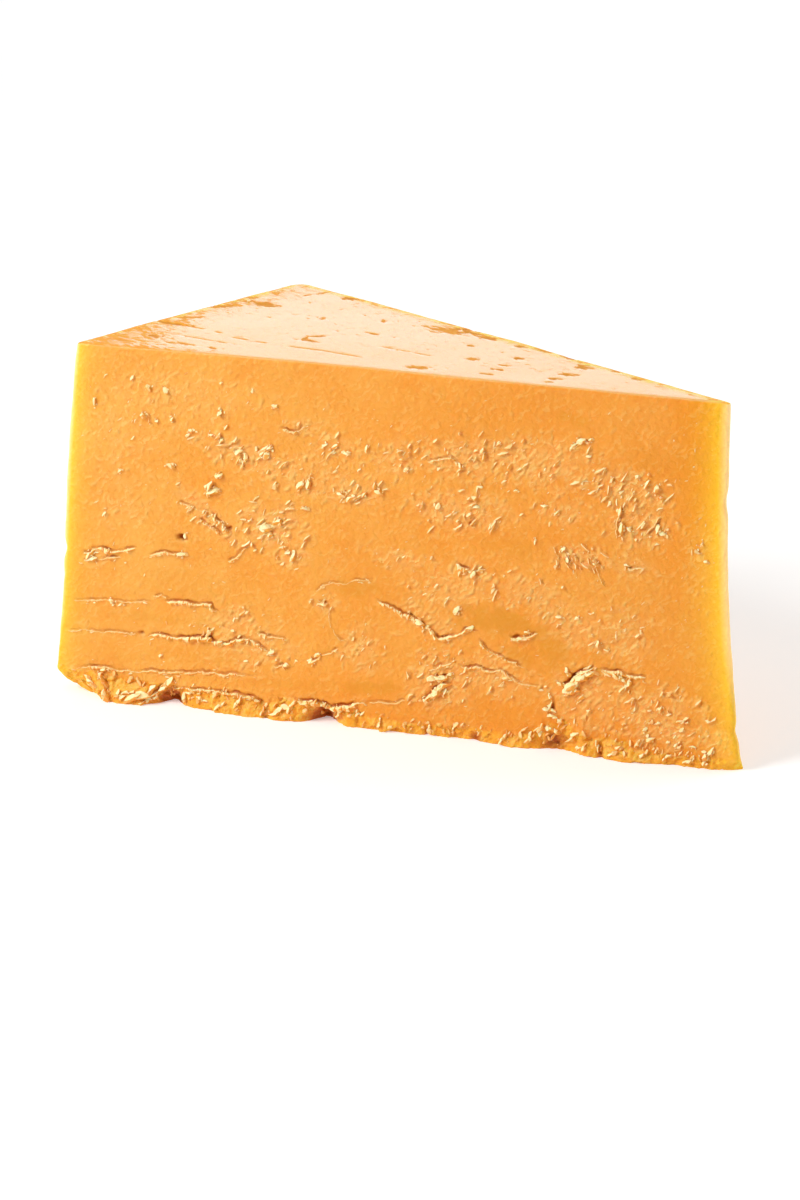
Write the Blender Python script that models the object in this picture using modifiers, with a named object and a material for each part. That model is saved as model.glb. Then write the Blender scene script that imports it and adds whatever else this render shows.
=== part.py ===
"""A wedge of orange cheddar-type cheese.

It is a rectangular block cut from corner to corner: one long torn cut face in front,
two smooth outer sides that meet square at the back, a smooth top and a flat foot.
Units are metres, +Z is up, and the origin is under the middle of the footprint.
"""
import math

import bmesh
import bpy
import numpy as np
from mathutils import Vector

# Driving sizes of the block, in metres.
FRONT_WIDTH = 0.150          # the long cut, between its worn upright edges
WORN_ENDS = (0.0007, 0.0021)  # what its sharp left and right ends have lost
SHORT_SIDE = 0.0708          # the block's short outer side, on the left
HEIGHT = 0.0848
SHORT_SIDE_LEAN = 0.0067     # how much further out each outer side stands at the foot
LONG_SIDE_LEAN = 0.0026
SHORT_SIDE_LEAN_LAW = 0.8    # below 1 the side bows out, above 1 it flares at the foot
LONG_SIDE_LEAN_LAW = 2.5
BACK_CORNER_RADIUS = 0.004
CUT_CORNER_RADIUS = 0.0006
FOOT_SPARE = 0.003           # below the foot, cut away at the end
FOOTPRINT_MIDDLE = (-0.0008, 0.0308)

# The mesh: first an even skin, fine enough for the cracks, then only as many faces as they need.
SKIN = 0.00055
SKIN_SMOOTHING = 6
TRIANGLES = 9200

CHEESE_ORANGE = (0.87, 0.37, 0.07, 1.0)
CHEESE_ROUGHNESS = 0.42

# All that follows is relief, in millimetres.  A place on the cut face is its distance to the
# right of the face's middle and its height above the foot.
MM = 0.001
FACE_DEPTH = 1.6             # how far in from a face its relief dies out
DEEPEST_SHARE = 0.35         # of the cheese behind a place, how much relief may take away

# The cut face flares towards its foot, and the last few millimetres of it are torn.  The line
# gives how far the torn foot stands out, from left to right.
FACE_FLARE = 2.0
FACE_FLARE_HEIGHT = 30.0
FOOT_LINE = (
    (-80, 0.0), (-73, 3.5), (-66, 5.0), (-60, 4.0), (-54, 0.6), (-45, 2.3), (-35, 3.4), (-26, 3.6),
    (-20, 1.6), (-16.5, -0.6), (-11, 1.9), (-3, 2.4), (6, 2.0), (16, 1.1), (23, 1.9), (31, 2.8),
    (40, 0.9), (46, 2.8), (54, 3.6), (65, 1.9), (74, 2.0), (80, 0.0),
)
TORN_FOOT_HEIGHT = 5.5
TORN_FOOT_TEETH = 0.8        # how far its teeth stand out, and how wide they are
TORN_FOOT_TOOTH = 3.0

# Cracks and ledges: depth, half width, then the places each one runs through.
CRACKS = (
    (0.9, 0.60, (-78, 34.0), (-74, 35.0), (-71, 36.0), (-60, 37.0), (-51, 37.0)),
    (0.8, 0.55, (-79, 23.0), (-65, 24.0), (-57, 25.8), (-50, 25.0), (-45, 25.5), (-42, 23.8)),
    (1.4, 0.65, (-62, 16.0), (-58, 17.0), (-44, 17.5), (-42, 16.6), (-38, 18.0), (-33, 17.8), (-28, 16.0)),
    (0.8, 0.50, (-79, 7.0), (-65, 7.6), (-45, 9.2), (-32, 9.6)),
    (1.1, 0.60, (-5, 31.0), (0, 30.0), (5, 27.5), (10, 23.5), (19, 26.5)),
    (0.8, 0.55, (19, 24.0), (25, 20.5), (30, 18.5)),
    (1.3, 0.60, (14, 42.0), (17, 40.5), (19, 38.8)),
    (0.8, 0.50, (17, 17.5), (25, 17.5), (30, 15.0), (35, 15.0)),
    (2.0, 0.80, (34, 14.8), (38, 16.0), (41, 19.0), (46, 20.5), (55, 20.0)),
    (1.4, 0.60, (40, 17.0), (38, 13.0), (36.5, 9.0)),
    (0.8, 0.50, (6, 8.5), (9.5, 12.0), (13, 12.0)),
    (0.8, 0.50, (8, 14.0), (13, 15.0), (15, 19.0)),
    (0.9, 0.60, (25, 26.0), (29, 26.0), (33, 27.5)),
    (0.8, 0.55, (50, 20.0), (54, 18.0), (57, 19.5)),
    (0.8, 0.50, (-20, 14.5), (-15, 17.5), (-11, 19.2)),
    (1.1, 0.60, (-43, 46.8), (-40, 44.5), (-37.5, 42.6)),
    (1.0, 0.55, (-47, 4.8), (-35, 4.6), (-31, 3.8)),
    (1.2, 0.60, (-24, 5.2), (-17, 4.4), (-12, 4.8), (-4, 6.4)),
)
CRACK_WANDER = 0.7           # how far a crack strays from its line, in bends of this size
CRACK_BEND = 3.5
CRACK_BEAD = 7.0             # length of its deeper and shallower stretches
CRACK_END_SHARE = 0.2        # of its length, over which each end grows shallow
CRACK_END_DEPTH = 0.3        # share of the depth left at an end
LIP_HEIGHT = 0.45            # of the lower lip, as a share of the depth
LIP_REACH = 3.0              # of the lower lip, in half widths

# Lone crumbs that cling to the face: place, length, how far they stand out.
CRUMBS = (
    (-43.5, 53.5, 3.2, 1.1), (-30.5, 63.5, 3.0, 1.0), (-30.0, 45.0, 3.2, 0.8), (-20.0, 57.0, 2.2, 0.7),
    (-15.0, 65.0, 2.2, 0.6), (-10.0, 55.0, 2.2, 0.7), (-4.0, 57.0, 2.0, 0.7), (1.0, 64.5, 2.0, 0.6),
    (-23.0, 38.5, 2.2, 0.7), (53.0, 53.0, 2.4, 0.7), (61.0, 54.0, 2.2, 0.6), (58.0, 64.5, 2.4, 0.6),
)

# Holes and hollows: place, half width, half height, depth.
HOLLOWS = (
    (-51.0, 41.0, 0.9, 0.9, 1.3), (-61.0, 16.0, 1.4, 1.0, 1.0), (-17.0, 28.7, 1.1, 1.0, 0.8),
    (-54.5, 1.0, 3.4, 3.2, 2.6), (-17.0, 0.5, 3.6, 3.4, 3.0), (38.5, 1.5, 5.0, 4.5, 1.8),
    (19.5, 0.5, 1.8, 2.4, 1.2), (49.0, 0.8, 1.4, 2.6, 1.1), (44.0, 18.5, 1.6, 1.4, 0.9),
)

# Places where the curd tore rough: middle, half width, half height, tilt in degrees, how rough.
ROUGH_PATCHES = (
    (-38, 64, 18, 7, 0, 0.30), (-34, 45, 15, 7, -20, 0.50), (-16, 58, 14, 8, 0, 0.30),
    (25, 66, 19, 8, 0, 0.28), (54, 58, 9, 8, 0, 0.45), (15, 54, 11, 5, 0, 0.40), (22, 36, 20, 7, 0, 0.26),
    (43, 46, 7, 3, 0, 0.40), (47, 29, 14, 7, 0, 0.26), (16, 14, 19, 10, 0, 0.35), (-8, 19, 5, 6, 0, 0.30),
    (-36, 17, 11, 8, 0, 0.40), (64, 10, 11, 8, 0, 0.40),
)
ROUGH_GRAIN = 2.6            # size of the scales, and how much longer than wide they are
ROUGH_STRETCH = 1.7
ROUGH_EDGE = 0.25            # how ragged the patches' outlines are, as a share of their size

# Slow waves: height, size, how much flatter than wide, seed.
CUT_FACE_WAVES = ((0.35, 26.0, 1.6, 3), (0.12, 9.0, 2.5, 4))
OUTER_SIDE_WAVES = ((0.30, 30.0, 1.0, 41), (0.14, 17.0, 2.5, 42))
TOP_WAVES = ((0.08, 14.0, 1.0, 31),)

# The top swells a little towards the left: middle, half width, half depth, height.
TOP_SWELL = (-25.0, 12.0, 45.0, 30.0, 0.5)

# Small hollows scraped out of the top: distance right of the middle, distance back, size, depth.
TOP_SCRAPES = (
    (-65, 8, 5.0, 0.5), (-53, 30, 4.0, 0.4), (-45, 42, 4.5, 0.4), (-24, 17, 2.5, 0.4),
    (5, 34, 4.5, 0.3), (13, 30, 2.5, 0.4), (23, 25, 2.5, 0.4), (36, 10, 3.5, 0.3), (51, 11, 2.5, 0.4),
)

# Nicks in the two upright edges of the cut face: which end, height, half height, depth.
NICKS = ((-1, 35.0, 1.6, 1.1), (-1, 28.5, 1.3, 0.6), (1, 62.0, 2.5, 0.8), (1, 9.0, 1.8, 0.7))
NICK_REACH = 9.0

# The left foot corner is broken off, most of all at the very foot.
CHIP_HEIGHT = 6.4
CHIP_DEPTH = 7.0
CHIP_REACH = 17.0
CHIP_LAW = 1.7


def block_corners():
    """The sharp corners of the top: left and right end of the cut, and the square back corner."""
    left = Vector((-FRONT_WIDTH / 2 - WORN_ENDS[0], 0.0))
    right = Vector((FRONT_WIDTH / 2 + WORN_ENDS[1], 0.0))
    cut_length = right.x - left.x
    long_side = math.sqrt(cut_length ** 2 - SHORT_SIDE ** 2)
    back = left + Vector((SHORT_SIDE, long_side)) * SHORT_SIDE / cut_length
    return left, right, back


def rounded_outline(corners, radii, steps=6):
    """A closed flat outline with an arc at each corner."""
    outline = []
    for index, corner in enumerate(corners):
        before = (corners[index - 1] - corner).normalized()
        after = (corners[(index + 1) % len(corners)] - corner).normalized()
        half_angle = before.angle(after) / 2
        middle = corner + (before + after).normalized() * radii[index] / math.sin(half_angle)
        reach = radii[index] / math.tan(half_angle)
        start = (corner + before * reach - middle).normalized()
        end = (corner + after * reach - middle).normalized()
        for step in range(steps + 1):
            outline.append(middle + start.slerp(end, step / steps) * radii[index])
    return outline


def evaluated_copy(obj, name):
    """A mesh object at the origin that takes another object's place, with its modifiers worked in."""
    mesh = bpy.data.meshes.new_from_object(obj.evaluated_get(bpy.context.evaluated_depsgraph_get()))
    mesh.transform(obj.matrix_world)
    collections = list(obj.users_collection)
    bpy.data.objects.remove(obj)
    copy = bpy.data.objects.new(name, mesh)
    for collection in collections:
        collection.objects.link(copy)
    bpy.context.view_layer.update()
    return copy


def add_block(collection):
    """The upright block, as a closed even skin."""
    curve = bpy.data.curves.new("block_outline", "CURVE")
    curve.dimensions = "2D"
    curve.fill_mode = "BOTH"
    curve.extrude = (HEIGHT + FOOT_SPARE) / 2
    outline = rounded_outline(block_corners(), (CUT_CORNER_RADIUS, CUT_CORNER_RADIUS, BACK_CORNER_RADIUS))
    spline = curve.splines.new("POLY")
    spline.points.add(len(outline) - 1)
    for point, place in zip(spline.points, outline):
        point.co = (place.x, place.y, 0.0, 1.0)
    spline.use_cyclic_u = True
    outline_object = bpy.data.objects.new("block_outline", curve)
    outline_object.location.z = (HEIGHT - FOOT_SPARE) / 2
    collection.objects.link(outline_object)
    bpy.context.view_layer.update()

    block = evaluated_copy(outline_object, "block")
    shape = bmesh.new()
    shape.from_mesh(block.data)
    bmesh.ops.remove_doubles(shape, verts=shape.verts, dist=1e-6)
    shape.to_mesh(block.data)
    shape.free()

    skin = block.modifiers.new("skin", "REMESH")
    skin.mode = "VOXEL"
    skin.voxel_size = SKIN
    softened = block.modifiers.new("softened edges", "SMOOTH")
    softened.factor = 0.5
    softened.iterations = SKIN_SMOOTHING
    bpy.context.view_layer.update()
    return evaluated_copy(block, "cheese_wedge")


def smooth(value, start, end):
    """Goes from 0 at start to 1 at end, gently at both."""
    share = np.clip((value - start) / (end - start), 0.0, 1.0)
    return share * share * (3 - 2 * share)


def scatter(column, row, seed):
    """A repeatable draw from 0 to 1 for each cell of a grid."""
    mixed = (column * 374761393 + row * 668265263 + seed * 974634777) & 0xFFFFFFFF
    mixed = ((mixed ^ (mixed >> 13)) * 1274126177) & 0xFFFFFFFF
    return (mixed ^ (mixed >> 16)) / 0xFFFFFFFF


def noise(u, v, size, seed):
    """Gradient noise from about -1 to 1, with bumps of the given size."""
    u, v = u / size, v / size
    column, row = np.floor(u).astype(np.int64), np.floor(v).astype(np.int64)
    total = np.zeros_like(u)
    for next_column in (0, 1):
        for next_row in (0, 1):
            turn = 2 * math.pi * scatter(column + next_column, row + next_row, seed)
            du, dv = u - column - next_column, v - row - next_row
            slope = np.cos(turn) * du + np.sin(turn) * dv
            total += slope * smooth(1 - abs(du), 0, 1) * smooth(1 - abs(dv), 0, 1)
    return 1.6 * total


def beside_path(u, v, path):
    """Height above the nearest stretch of a broken line, and the share of its length passed there."""
    lengths = [math.dist(a, b) for a, b in zip(path, path[1:])]
    nearest = np.full_like(u, np.inf)
    above = np.zeros_like(u)
    passed = np.zeros_like(u)
    done = 0.0
    for (u0, v0), (u1, v1), length in zip(path, path[1:], lengths):
        du, dv = (u1 - u0) / length, (v1 - v0) / length
        along = np.clip((u - u0) * du + (v - v0) * dv, 0, length)
        across = (v - v0) * du - (u - u0) * dv
        away = np.hypot(u - u0 - along * du, v - v0 - along * dv)
        closer = away < nearest
        nearest = np.where(closer, away, nearest)
        above = np.where(closer, np.copysign(away, across), above)
        passed = np.where(closer, (done + along) / sum(lengths), passed)
        done += length
    return above, passed


def crack(u, v, depth, half_width, path):
    """A torn crack, deepest in its middle, whose lower lip stands a little proud."""
    above, passed = beside_path(u, v, path)
    middle = smooth(passed, 0, CRACK_END_SHARE) * smooth(passed, 1, 1 - CRACK_END_SHARE)
    strength = depth * (CRACK_END_DEPTH + (1 - CRACK_END_DEPTH) * middle)
    strength *= 0.75 + 0.5 * noise(u, v, CRACK_BEAD, 7)
    groove = np.exp(-(above / half_width) ** 2)
    lip = smooth(-above, 0, half_width) * np.exp(-np.abs(above) / (LIP_REACH * half_width))
    return strength * (LIP_HEIGHT * lip - groove)


def dome(u, v, middle_u, middle_v, half_width, half_height):
    """1 in the middle of an oval, falling softly to nothing outside it."""
    return np.exp(-((u - middle_u) / half_width) ** 2 - ((v - middle_v) / half_height) ** 2)


def rough_patches(u, v):
    """Curd torn into slanting scales, only where the table says."""
    amount = np.zeros_like(u)
    for middle_u, middle_v, half_width, half_height, tilt, height in ROUGH_PATCHES:
        cos, sin = math.cos(math.radians(tilt)), math.sin(math.radians(tilt))
        along = (u - middle_u) * cos + (v - middle_v) * sin
        across = (v - middle_v) * cos - (u - middle_u) * sin
        edge = np.hypot(along / half_width, across / half_height) + ROUGH_EDGE * noise(u, v, 5.0, 11)
        amount = np.maximum(amount, height * smooth(edge, 1.1, 0.7))
    slant_u, slant_v = (u + v) / math.sqrt(2), (v - u) / math.sqrt(2)
    scales = noise(slant_u / ROUGH_STRETCH, slant_v, ROUGH_GRAIN, 21)
    return amount * scales


def waves(u, v, kinds):
    """Slow swells of a face, one kind on top of another."""
    return sum(height * noise(u, flatter * v, size, seed) for height, size, flatter, seed in kinds)


def torn_foot(x, z):
    """The cut face's flare, which gives way to the ragged foot line near the very foot."""
    flare = FACE_FLARE * smooth(z, FACE_FLARE_HEIGHT, 0) ** 1.5
    places, stand_out = zip(*FOOT_LINE)
    teeth = TORN_FOOT_TEETH * noise(x, 0.4 * z, TORN_FOOT_TOOTH, 6)
    torn = smooth(z + 1.2 * noise(x, z, 5.0, 5), TORN_FOOT_HEIGHT, 0)
    return flare + (np.interp(x, places, stand_out) - flare + teeth) * torn


def cut_face_relief(x, z):
    """How far the cut face stands out at each place."""
    wander_x = x + CRACK_WANDER * noise(x, z, CRACK_BEND, 1)
    wander_z = z + CRACK_WANDER * noise(x, z, CRACK_BEND, 2)
    out = waves(x, z, CUT_FACE_WAVES) + rough_patches(x, z) + torn_foot(x, z)
    for depth, half_width, *path in CRACKS:
        out += crack(wander_x, wander_z, depth, half_width, path)
    for crumb_x, crumb_z, length, height in CRUMBS:
        out += height * dome(wander_x, wander_z, crumb_x, crumb_z, length / 2, length / 3)
    for hollow_x, hollow_z, half_width, half_height, depth in HOLLOWS:
        out -= depth * dome(wander_x, wander_z, hollow_x, hollow_z, half_width, half_height)
    return out


def top_relief(x, y):
    """How far the top stands up at each place."""
    *swell, height = TOP_SWELL
    out = height * dome(x, y, *swell) + waves(x, y, TOP_WAVES)
    for scrape_x, scrape_y, size, depth in TOP_SCRAPES:
        out -= depth * dome(x, y, scrape_x, scrape_y, size, 0.6 * size)
    return out


def lean(points, share_left, share_right, short_way, long_way):
    """The outer sides stand further out towards the foot, while the cut face keeps its plane."""
    drop = np.clip(1 - points[:, 2] * MM / HEIGHT, 0, None)[:, None]
    short_lean = SHORT_SIDE_LEAN / MM * drop ** SHORT_SIDE_LEAN_LAW
    long_lean = LONG_SIDE_LEAN / MM * drop ** LONG_SIDE_LEAN_LAW
    right_along_cut = np.array((1.0, 0.0))
    left_corner = -short_lean / long_way[0] * right_along_cut
    right_corner = -long_lean / short_way[0] * right_along_cut
    back_corner = -short_lean * long_way - long_lean * short_way
    share_left, share_right = share_left[:, None], share_right[:, None]
    share_back = 1 - share_left - share_right
    points[:, :2] += share_left * left_corner + share_right * right_corner + share_back * back_corner


def near(depth):
    """1 on a face and 0 from FACE_DEPTH below it."""
    return smooth(depth, FACE_DEPTH, 0.3)


def shape_wedge(wedge):
    """Lean the outer sides, then press every face's relief into the even skin."""
    count = len(wedge.data.vertices)
    points = np.empty(count * 3, dtype=np.float32)
    wedge.data.vertices.foreach_get("co", points)
    points = points.reshape(count, 3).astype(np.float64) / MM

    # The block's two outer sides meet square, so each one's direction is the other's normal.
    left, right, back = (np.array(corner) / MM for corner in block_corners())
    short_length, long_length = np.linalg.norm(left - back), np.linalg.norm(right - back)
    short_way, long_way = (left - back) / short_length, (right - back) / long_length
    along_short = (points[:, :2] - back) @ short_way
    along_long = (points[:, :2] - back) @ long_way
    below_top = HEIGHT / MM - points[:, 2]
    lean(points, along_short / short_length, along_long / long_length, short_way, long_way)

    x, y, z = points.T.copy()
    short_side_out = waves(along_short, z, OUTER_SIDE_WAVES) * near(along_long)
    long_side_out = waves(-along_long, z, OUTER_SIDE_WAVES) * near(along_short)
    points[:, :2] -= np.outer(short_side_out, long_way) + np.outer(long_side_out, short_way)

    # The right end is thin, so the cut face never goes deeper than a share of what is behind it.
    thickness = np.clip(long_length - along_long, 0, None) * short_length / long_length
    cut_out = np.maximum(cut_face_relief(x, z), -DEEPEST_SHARE * thickness)
    points[:, 1] -= cut_out * near(y) * smooth(below_top, -0.5, 2.5)
    points[:, 2] += top_relief(x, y) * near(below_top)

    broken = CHIP_DEPTH * np.clip(1 - z / CHIP_HEIGHT, 0, 1.4) ** CHIP_LAW
    points[:, 0] += broken * smooth(np.hypot(x - x.min(), y), CHIP_REACH, 0)
    edge_x = {-1: left[0], 1: right[0]}
    for end, nick_z, half_height, depth in NICKS:
        close = smooth(np.hypot(x - edge_x[end], y), NICK_REACH, 0)
        points[:, 0] -= end * depth * np.exp(-((z - nick_z) / half_height) ** 2) * close

    wedge.data.vertices.foreach_set("co", (points * MM).astype(np.float32).ravel())
    wedge.data.update()


def thin_out(wedge):
    """Keep only as many faces as the relief needs."""
    triangles = sum(len(face.vertices) - 2 for face in wedge.data.polygons)
    fewer = wedge.modifiers.new("fewer faces", "DECIMATE")
    fewer.ratio = TRIANGLES / triangles
    fewer.use_collapse_triangulate = True
    bpy.context.view_layer.update()
    return evaluated_copy(wedge, "cheese_wedge")


def cut_foot(wedge):
    """Cut the foot off flat and stand the wedge over the middle of its footprint."""
    shape = bmesh.new()
    shape.from_mesh(wedge.data)
    everything = shape.verts[:] + shape.edges[:] + shape.faces[:]
    bmesh.ops.bisect_plane(shape, geom=everything, dist=1e-4, plane_co=(0, 0, 0), plane_no=(0, 0, 1),
                           clear_inner=True)
    rim = [edge for edge in shape.edges if edge.is_boundary]
    for vert in {vert for edge in rim for vert in edge.verts}:
        vert.co.z = 0.0
    bmesh.ops.triangle_fill(shape, use_beauty=True, edges=rim, normal=(0, 0, -1))
    bmesh.ops.dissolve_degenerate(shape, edges=shape.edges, dist=1e-5)
    bmesh.ops.recalc_face_normals(shape, faces=shape.faces)
    bmesh.ops.translate(shape, verts=shape.verts, vec=(-FOOTPRINT_MIDDLE[0], -FOOTPRINT_MIDDLE[1], 0))
    shape.to_mesh(wedge.data)
    shape.free()


def cheese_material():
    material = bpy.data.materials.new("cheddar")
    material.use_nodes = True
    principled = material.node_tree.nodes["Principled BSDF"]
    principled.inputs["Base Color"].default_value = CHEESE_ORANGE
    principled.inputs["Roughness"].default_value = CHEESE_ROUGHNESS
    principled.inputs["Metallic"].default_value = 0.0
    return material


def main():
    for obj in list(bpy.data.objects):
        bpy.data.objects.remove(obj)
    collection = bpy.data.collections.new("cheddar_wedge")
    bpy.context.scene.collection.children.link(collection)
    wedge = add_block(collection)
    shape_wedge(wedge)
    wedge = thin_out(wedge)
    cut_foot(wedge)
    wedge.data.materials.clear()
    wedge.data.materials.append(cheese_material())
    wedge.data.shade_smooth()
    wedge.data.set_sharp_from_angle(angle=math.radians(35))


main()
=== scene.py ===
"""The looks of a wedge of orange cheddar-type cheese, cut from corner to corner of a block.

The wedge is modelled in millimetres and scaled to metres at the end.  A place on the torn cut
face is its distance to the right of the face's middle and its height above the foot.  A place on
the top is its distance to the right of that middle and its distance back from the cut face.
"""
import math

import bmesh
import bpy
import numpy as np
from mathutils import Matrix, Vector


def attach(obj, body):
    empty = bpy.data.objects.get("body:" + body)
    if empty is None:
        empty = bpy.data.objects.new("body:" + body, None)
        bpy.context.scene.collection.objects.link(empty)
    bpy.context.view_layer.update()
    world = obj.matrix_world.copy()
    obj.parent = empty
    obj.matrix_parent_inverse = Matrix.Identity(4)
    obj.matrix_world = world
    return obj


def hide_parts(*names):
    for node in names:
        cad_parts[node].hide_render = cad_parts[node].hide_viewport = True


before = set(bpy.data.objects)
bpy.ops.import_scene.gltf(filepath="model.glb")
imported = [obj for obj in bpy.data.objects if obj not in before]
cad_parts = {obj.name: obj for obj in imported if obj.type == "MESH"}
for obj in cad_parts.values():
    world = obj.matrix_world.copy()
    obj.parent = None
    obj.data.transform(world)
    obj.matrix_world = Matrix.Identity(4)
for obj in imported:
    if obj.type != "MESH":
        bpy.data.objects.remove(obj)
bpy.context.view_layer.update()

MM = 0.001

# The block, in millimetres, with the same sizes as the solid that this wedge stands for.
FRONT_WIDTH = 150.0
WORN_ENDS = (0.7, 2.1)       # how much further the cut reached before its ends were worn
SHORT_SIDE = 70.8
HEIGHT = 84.8
SHORT_SIDE_LEAN = 6.7        # how far a side stands out at the foot, and how that grows from the top
LONG_SIDE_LEAN = 2.6
SHORT_SIDE_LEAN_LAW = 0.8
LONG_SIDE_LEAN_LAW = 2.5
BACK_CORNER_RADIUS = 4.0
CUT_CORNER_RADIUS = 0.6
FOOT_SPARE = 3.0             # made below the foot, and cut off again
FOOTPRINT_MIDDLE = (-0.8, 30.8)

# The grids over the cut face and the top: left, right, low and high.
CUT_FACE_GRID = (-88, 88, -5, 91)
TOP_GRID = (-82, 82, -4, 68)

# The fine skin: its spacing, its smoothing and the triangles that are kept.
SKIN = 0.31
SKIN_SMOOTHING = 19
TRIANGLES = 197000
FACE_KEEP = 0.45             # how much more evenly the cut face and the top keep their points
EVENNESS = 0.0004            # how much that counts beside the relief

# Relief of the cut face.
FACE_DEPTH = 1.6             # how deep into the skin a face's relief is carried
DEEPEST_SHARE = 0.35         # the deepest hollow, as a share of the thickness there
FACE_FLARE = 2.0             # how far the face stands out at its foot, and from what height
FACE_FLARE_HEIGHT = 30.0
# How far the ragged foot stands out, from left to right, and how high up it is broken.
FOOT_LINE = (
    (-80, 0), (-73, 3.5), (-66, 5), (-60, 4), (-54, 0.6), (-45, 2.3), (-35, 3.4), (-26, 3.6),
    (-20, 1.6), (-16.5, -0.6), (-11, 1.9), (-3, 2.4), (6, 2), (16, 1.1), (23, 1.9), (31, 2.8),
    (40, 0.9), (46, 2.8), (54, 3.6), (65, 1.9), (74, 2), (80, 0),
)
FOOT_TOP = (
    (-80, 6.4), (-70, 5.6), (-62, 4.6), (-56, 5.2), (-48, 4.6), (-36, 4.6), (-31, 3.4), (-26, 5.4),
    (-20, 5.2), (-12, 4.6), (-4, 3), (8, 2.6), (20, 3.2), (28, 2.2), (33, 5), (40, 7.4), (46, 4.4),
    (52, 4.8), (58, 2.6), (70, 2.4), (80, 3),
)
# Broken chips of the foot: size, height, seed.
FOOT_CHIPS = ((4.0, 0.50, 71), (1.6, 0.26, 81), (0.8, 0.12, 86))

# Cracks and ledges: depth, half width, then the places each one runs through.
CRACKS = (
    (0.9, 0.30, (-76, 34.2), (-74, 35.2), (-72.5, 36.2), (-69, 36.2), (-65, 36.4), (-62, 37.2)),
    (0.5, 0.26, (-75.5, 33), (-71, 33.8), (-66, 34.8)),
    (0.5, 0.26, (-59, 36.4), (-54.5, 37), (-50.5, 37)),
    (0.3, 0.26, (-79, 23), (-72, 23.6), (-65, 24), (-59, 24.6)),
    (0.5, 0.26, (-58, 26.2), (-56, 26.6), (-54, 25.6)),
    (0.9, 0.28, (-55, 24.8), (-50, 25.4), (-46, 25.8), (-44.5, 25.6), (-43.6, 24.4), (-42.2, 23.8)),
    (0.35, 0.26, (-80, 15.6), (-70, 16.2), (-62, 16.6)),
    (1, 0.30, (-60.5, 15.4), (-58, 16.6), (-54, 17), (-50, 17), (-47, 17.4), (-44.5, 17.8),
     (-43.5, 17), (-40, 17), (-38, 18), (-35, 18.2), (-33, 17.6), (-31.5, 16.8), (-29.5, 15.4)),
    (0.6, 0.26, (-33, 20), (-29, 19.6), (-25.5, 19)),
    (0.5, 0.28, (-78, 6.8), (-70, 7.2), (-55, 8.2), (-45, 9.2), (-33, 9.8)),
    (0.9, 0.34, (-61, 0.6), (-58, 2.4), (-55, 5.2)),
    (0.8, 0.32, (-55, 4.4), (-47, 4.8), (-36, 5), (-33, 4.6), (-31.6, 3.4)),
    (0.9, 0.34, (-24, 5.8), (-20, 5), (-17, 5.2), (-15, 4.4), (-13, 4.8), (-10, 6), (-6, 6.5)),
    (0.3, 0.26, (-6, 6.5), (-2, 7.2), (3, 8.2)),
    (0.6, 0.28, (-21, 14), (-18.5, 15.6), (-17, 16.8), (-15.5, 17.4), (-13, 18.2)),
    (0.5, 0.26, (-29, 12.4), (-26.5, 13), (-25, 11.8)),
    (0.3, 0.24, (-15.2, 28), (-15, 23.4), (-13, 21), (-11.5, 20.2)),
    (0.6, 0.28, (-18.4, 29.6), (-16, 28.4)),
    (0.4, 0.24, (-20, 31.5), (-15.5, 33.8), (-12, 34.6), (-8, 35.6), (-5.4, 35.8)),
    (1, 0.28, (-5, 31), (0, 29.6), (3, 28.6), (5, 27.4), (7, 26), (8.5, 25), (10, 23.8), (12, 24),
     (14, 24.6), (15.5, 25.2), (17, 26.4), (19.5, 26.2)),
    (0.9, 0.30, (-43.5, 47.6), (-41, 46), (-40, 44.6), (-38.6, 43.6)),
    (0.5, 0.26, (-46.4, 46), (-43.4, 44.4), (-41, 42.8)),
    (0.5, 0.26, (-51.5, 49.6), (-49, 48.8), (-46, 48.2), (-44, 48.4)),
    (0.5, 0.28, (-40.5, 36.4), (-38, 38), (-36.5, 39.4), (-34.5, 41)),
    (0.6, 0.28, (-26.5, 69.4), (-24.5, 68.8), (-22, 70.2), (-20, 70.8)),
    (1.1, 0.30, (14.5, 41.8), (16.5, 41), (18, 40.2), (18.4, 38.8)),
    (0.5, 0.26, (19.5, 24.4), (21.5, 22.6), (24, 21.4), (26, 20.4), (29.5, 19.2), (31, 18.6)),
    (0.7, 0.28, (26.5, 26), (28.4, 25.6), (31, 26.4), (33.5, 27.6)),
    (0.5, 0.26, (15, 17.8), (21, 17.6), (25, 17.6), (28, 16.4), (30, 15.2), (34, 15)),
    (1.6, 0.36, (39.4, 15.8), (41, 17.4), (42.5, 19), (44, 19.8), (46, 20.6)),
    (0.9, 0.28, (48, 20.6), (51, 20.4), (55, 20.2), (58, 19.6)),
    (1.3, 0.40, (36.5, 13.6), (37.6, 11.2), (36.6, 9.6), (35.4, 10.2)),
    (1, 0.30, (6.5, 8.6), (8, 10), (9.8, 11.6), (12, 11.8)),
    (0.8, 0.28, (8, 13.8), (11, 14.2), (13, 15.2)),
    (0.7, 0.28, (9.5, 16.2), (12, 17.6), (14.5, 19)),
    (0.6, 0.28, (52.5, 45.4), (54.5, 45), (57, 45.6)),
    (0.6, 0.28, (17, 50.8), (19, 53.2)),
    (0.6, 0.26, (7, 65.2), (11, 66), (13, 67.2), (15.6, 64.6)),
    (0.35, 0.26, (37, 48), (38.6, 44.4)),
    (0.35, 0.26, (39.6, 47.2), (41, 44.6)),
    (0.3, 0.26, (42.2, 47.4), (43.4, 45)),
    (0.3, 0.26, (45.4, 46.8), (47.6, 44.6)),
    (0.35, 0.28, (52, 59.4), (51.8, 56), (51, 53), (51.6, 51.6)),
    (0.35, 0.28, (61, 57.4), (59.6, 54.8), (57.6, 52.6)),
    (0.5, 0.26, (40.5, 71.6), (42.5, 73.2), (44.8, 73.6)),
    (0.3, 0.24, (46.4, 44.2), (47.4, 42), (49.4, 40.2)),
)
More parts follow.
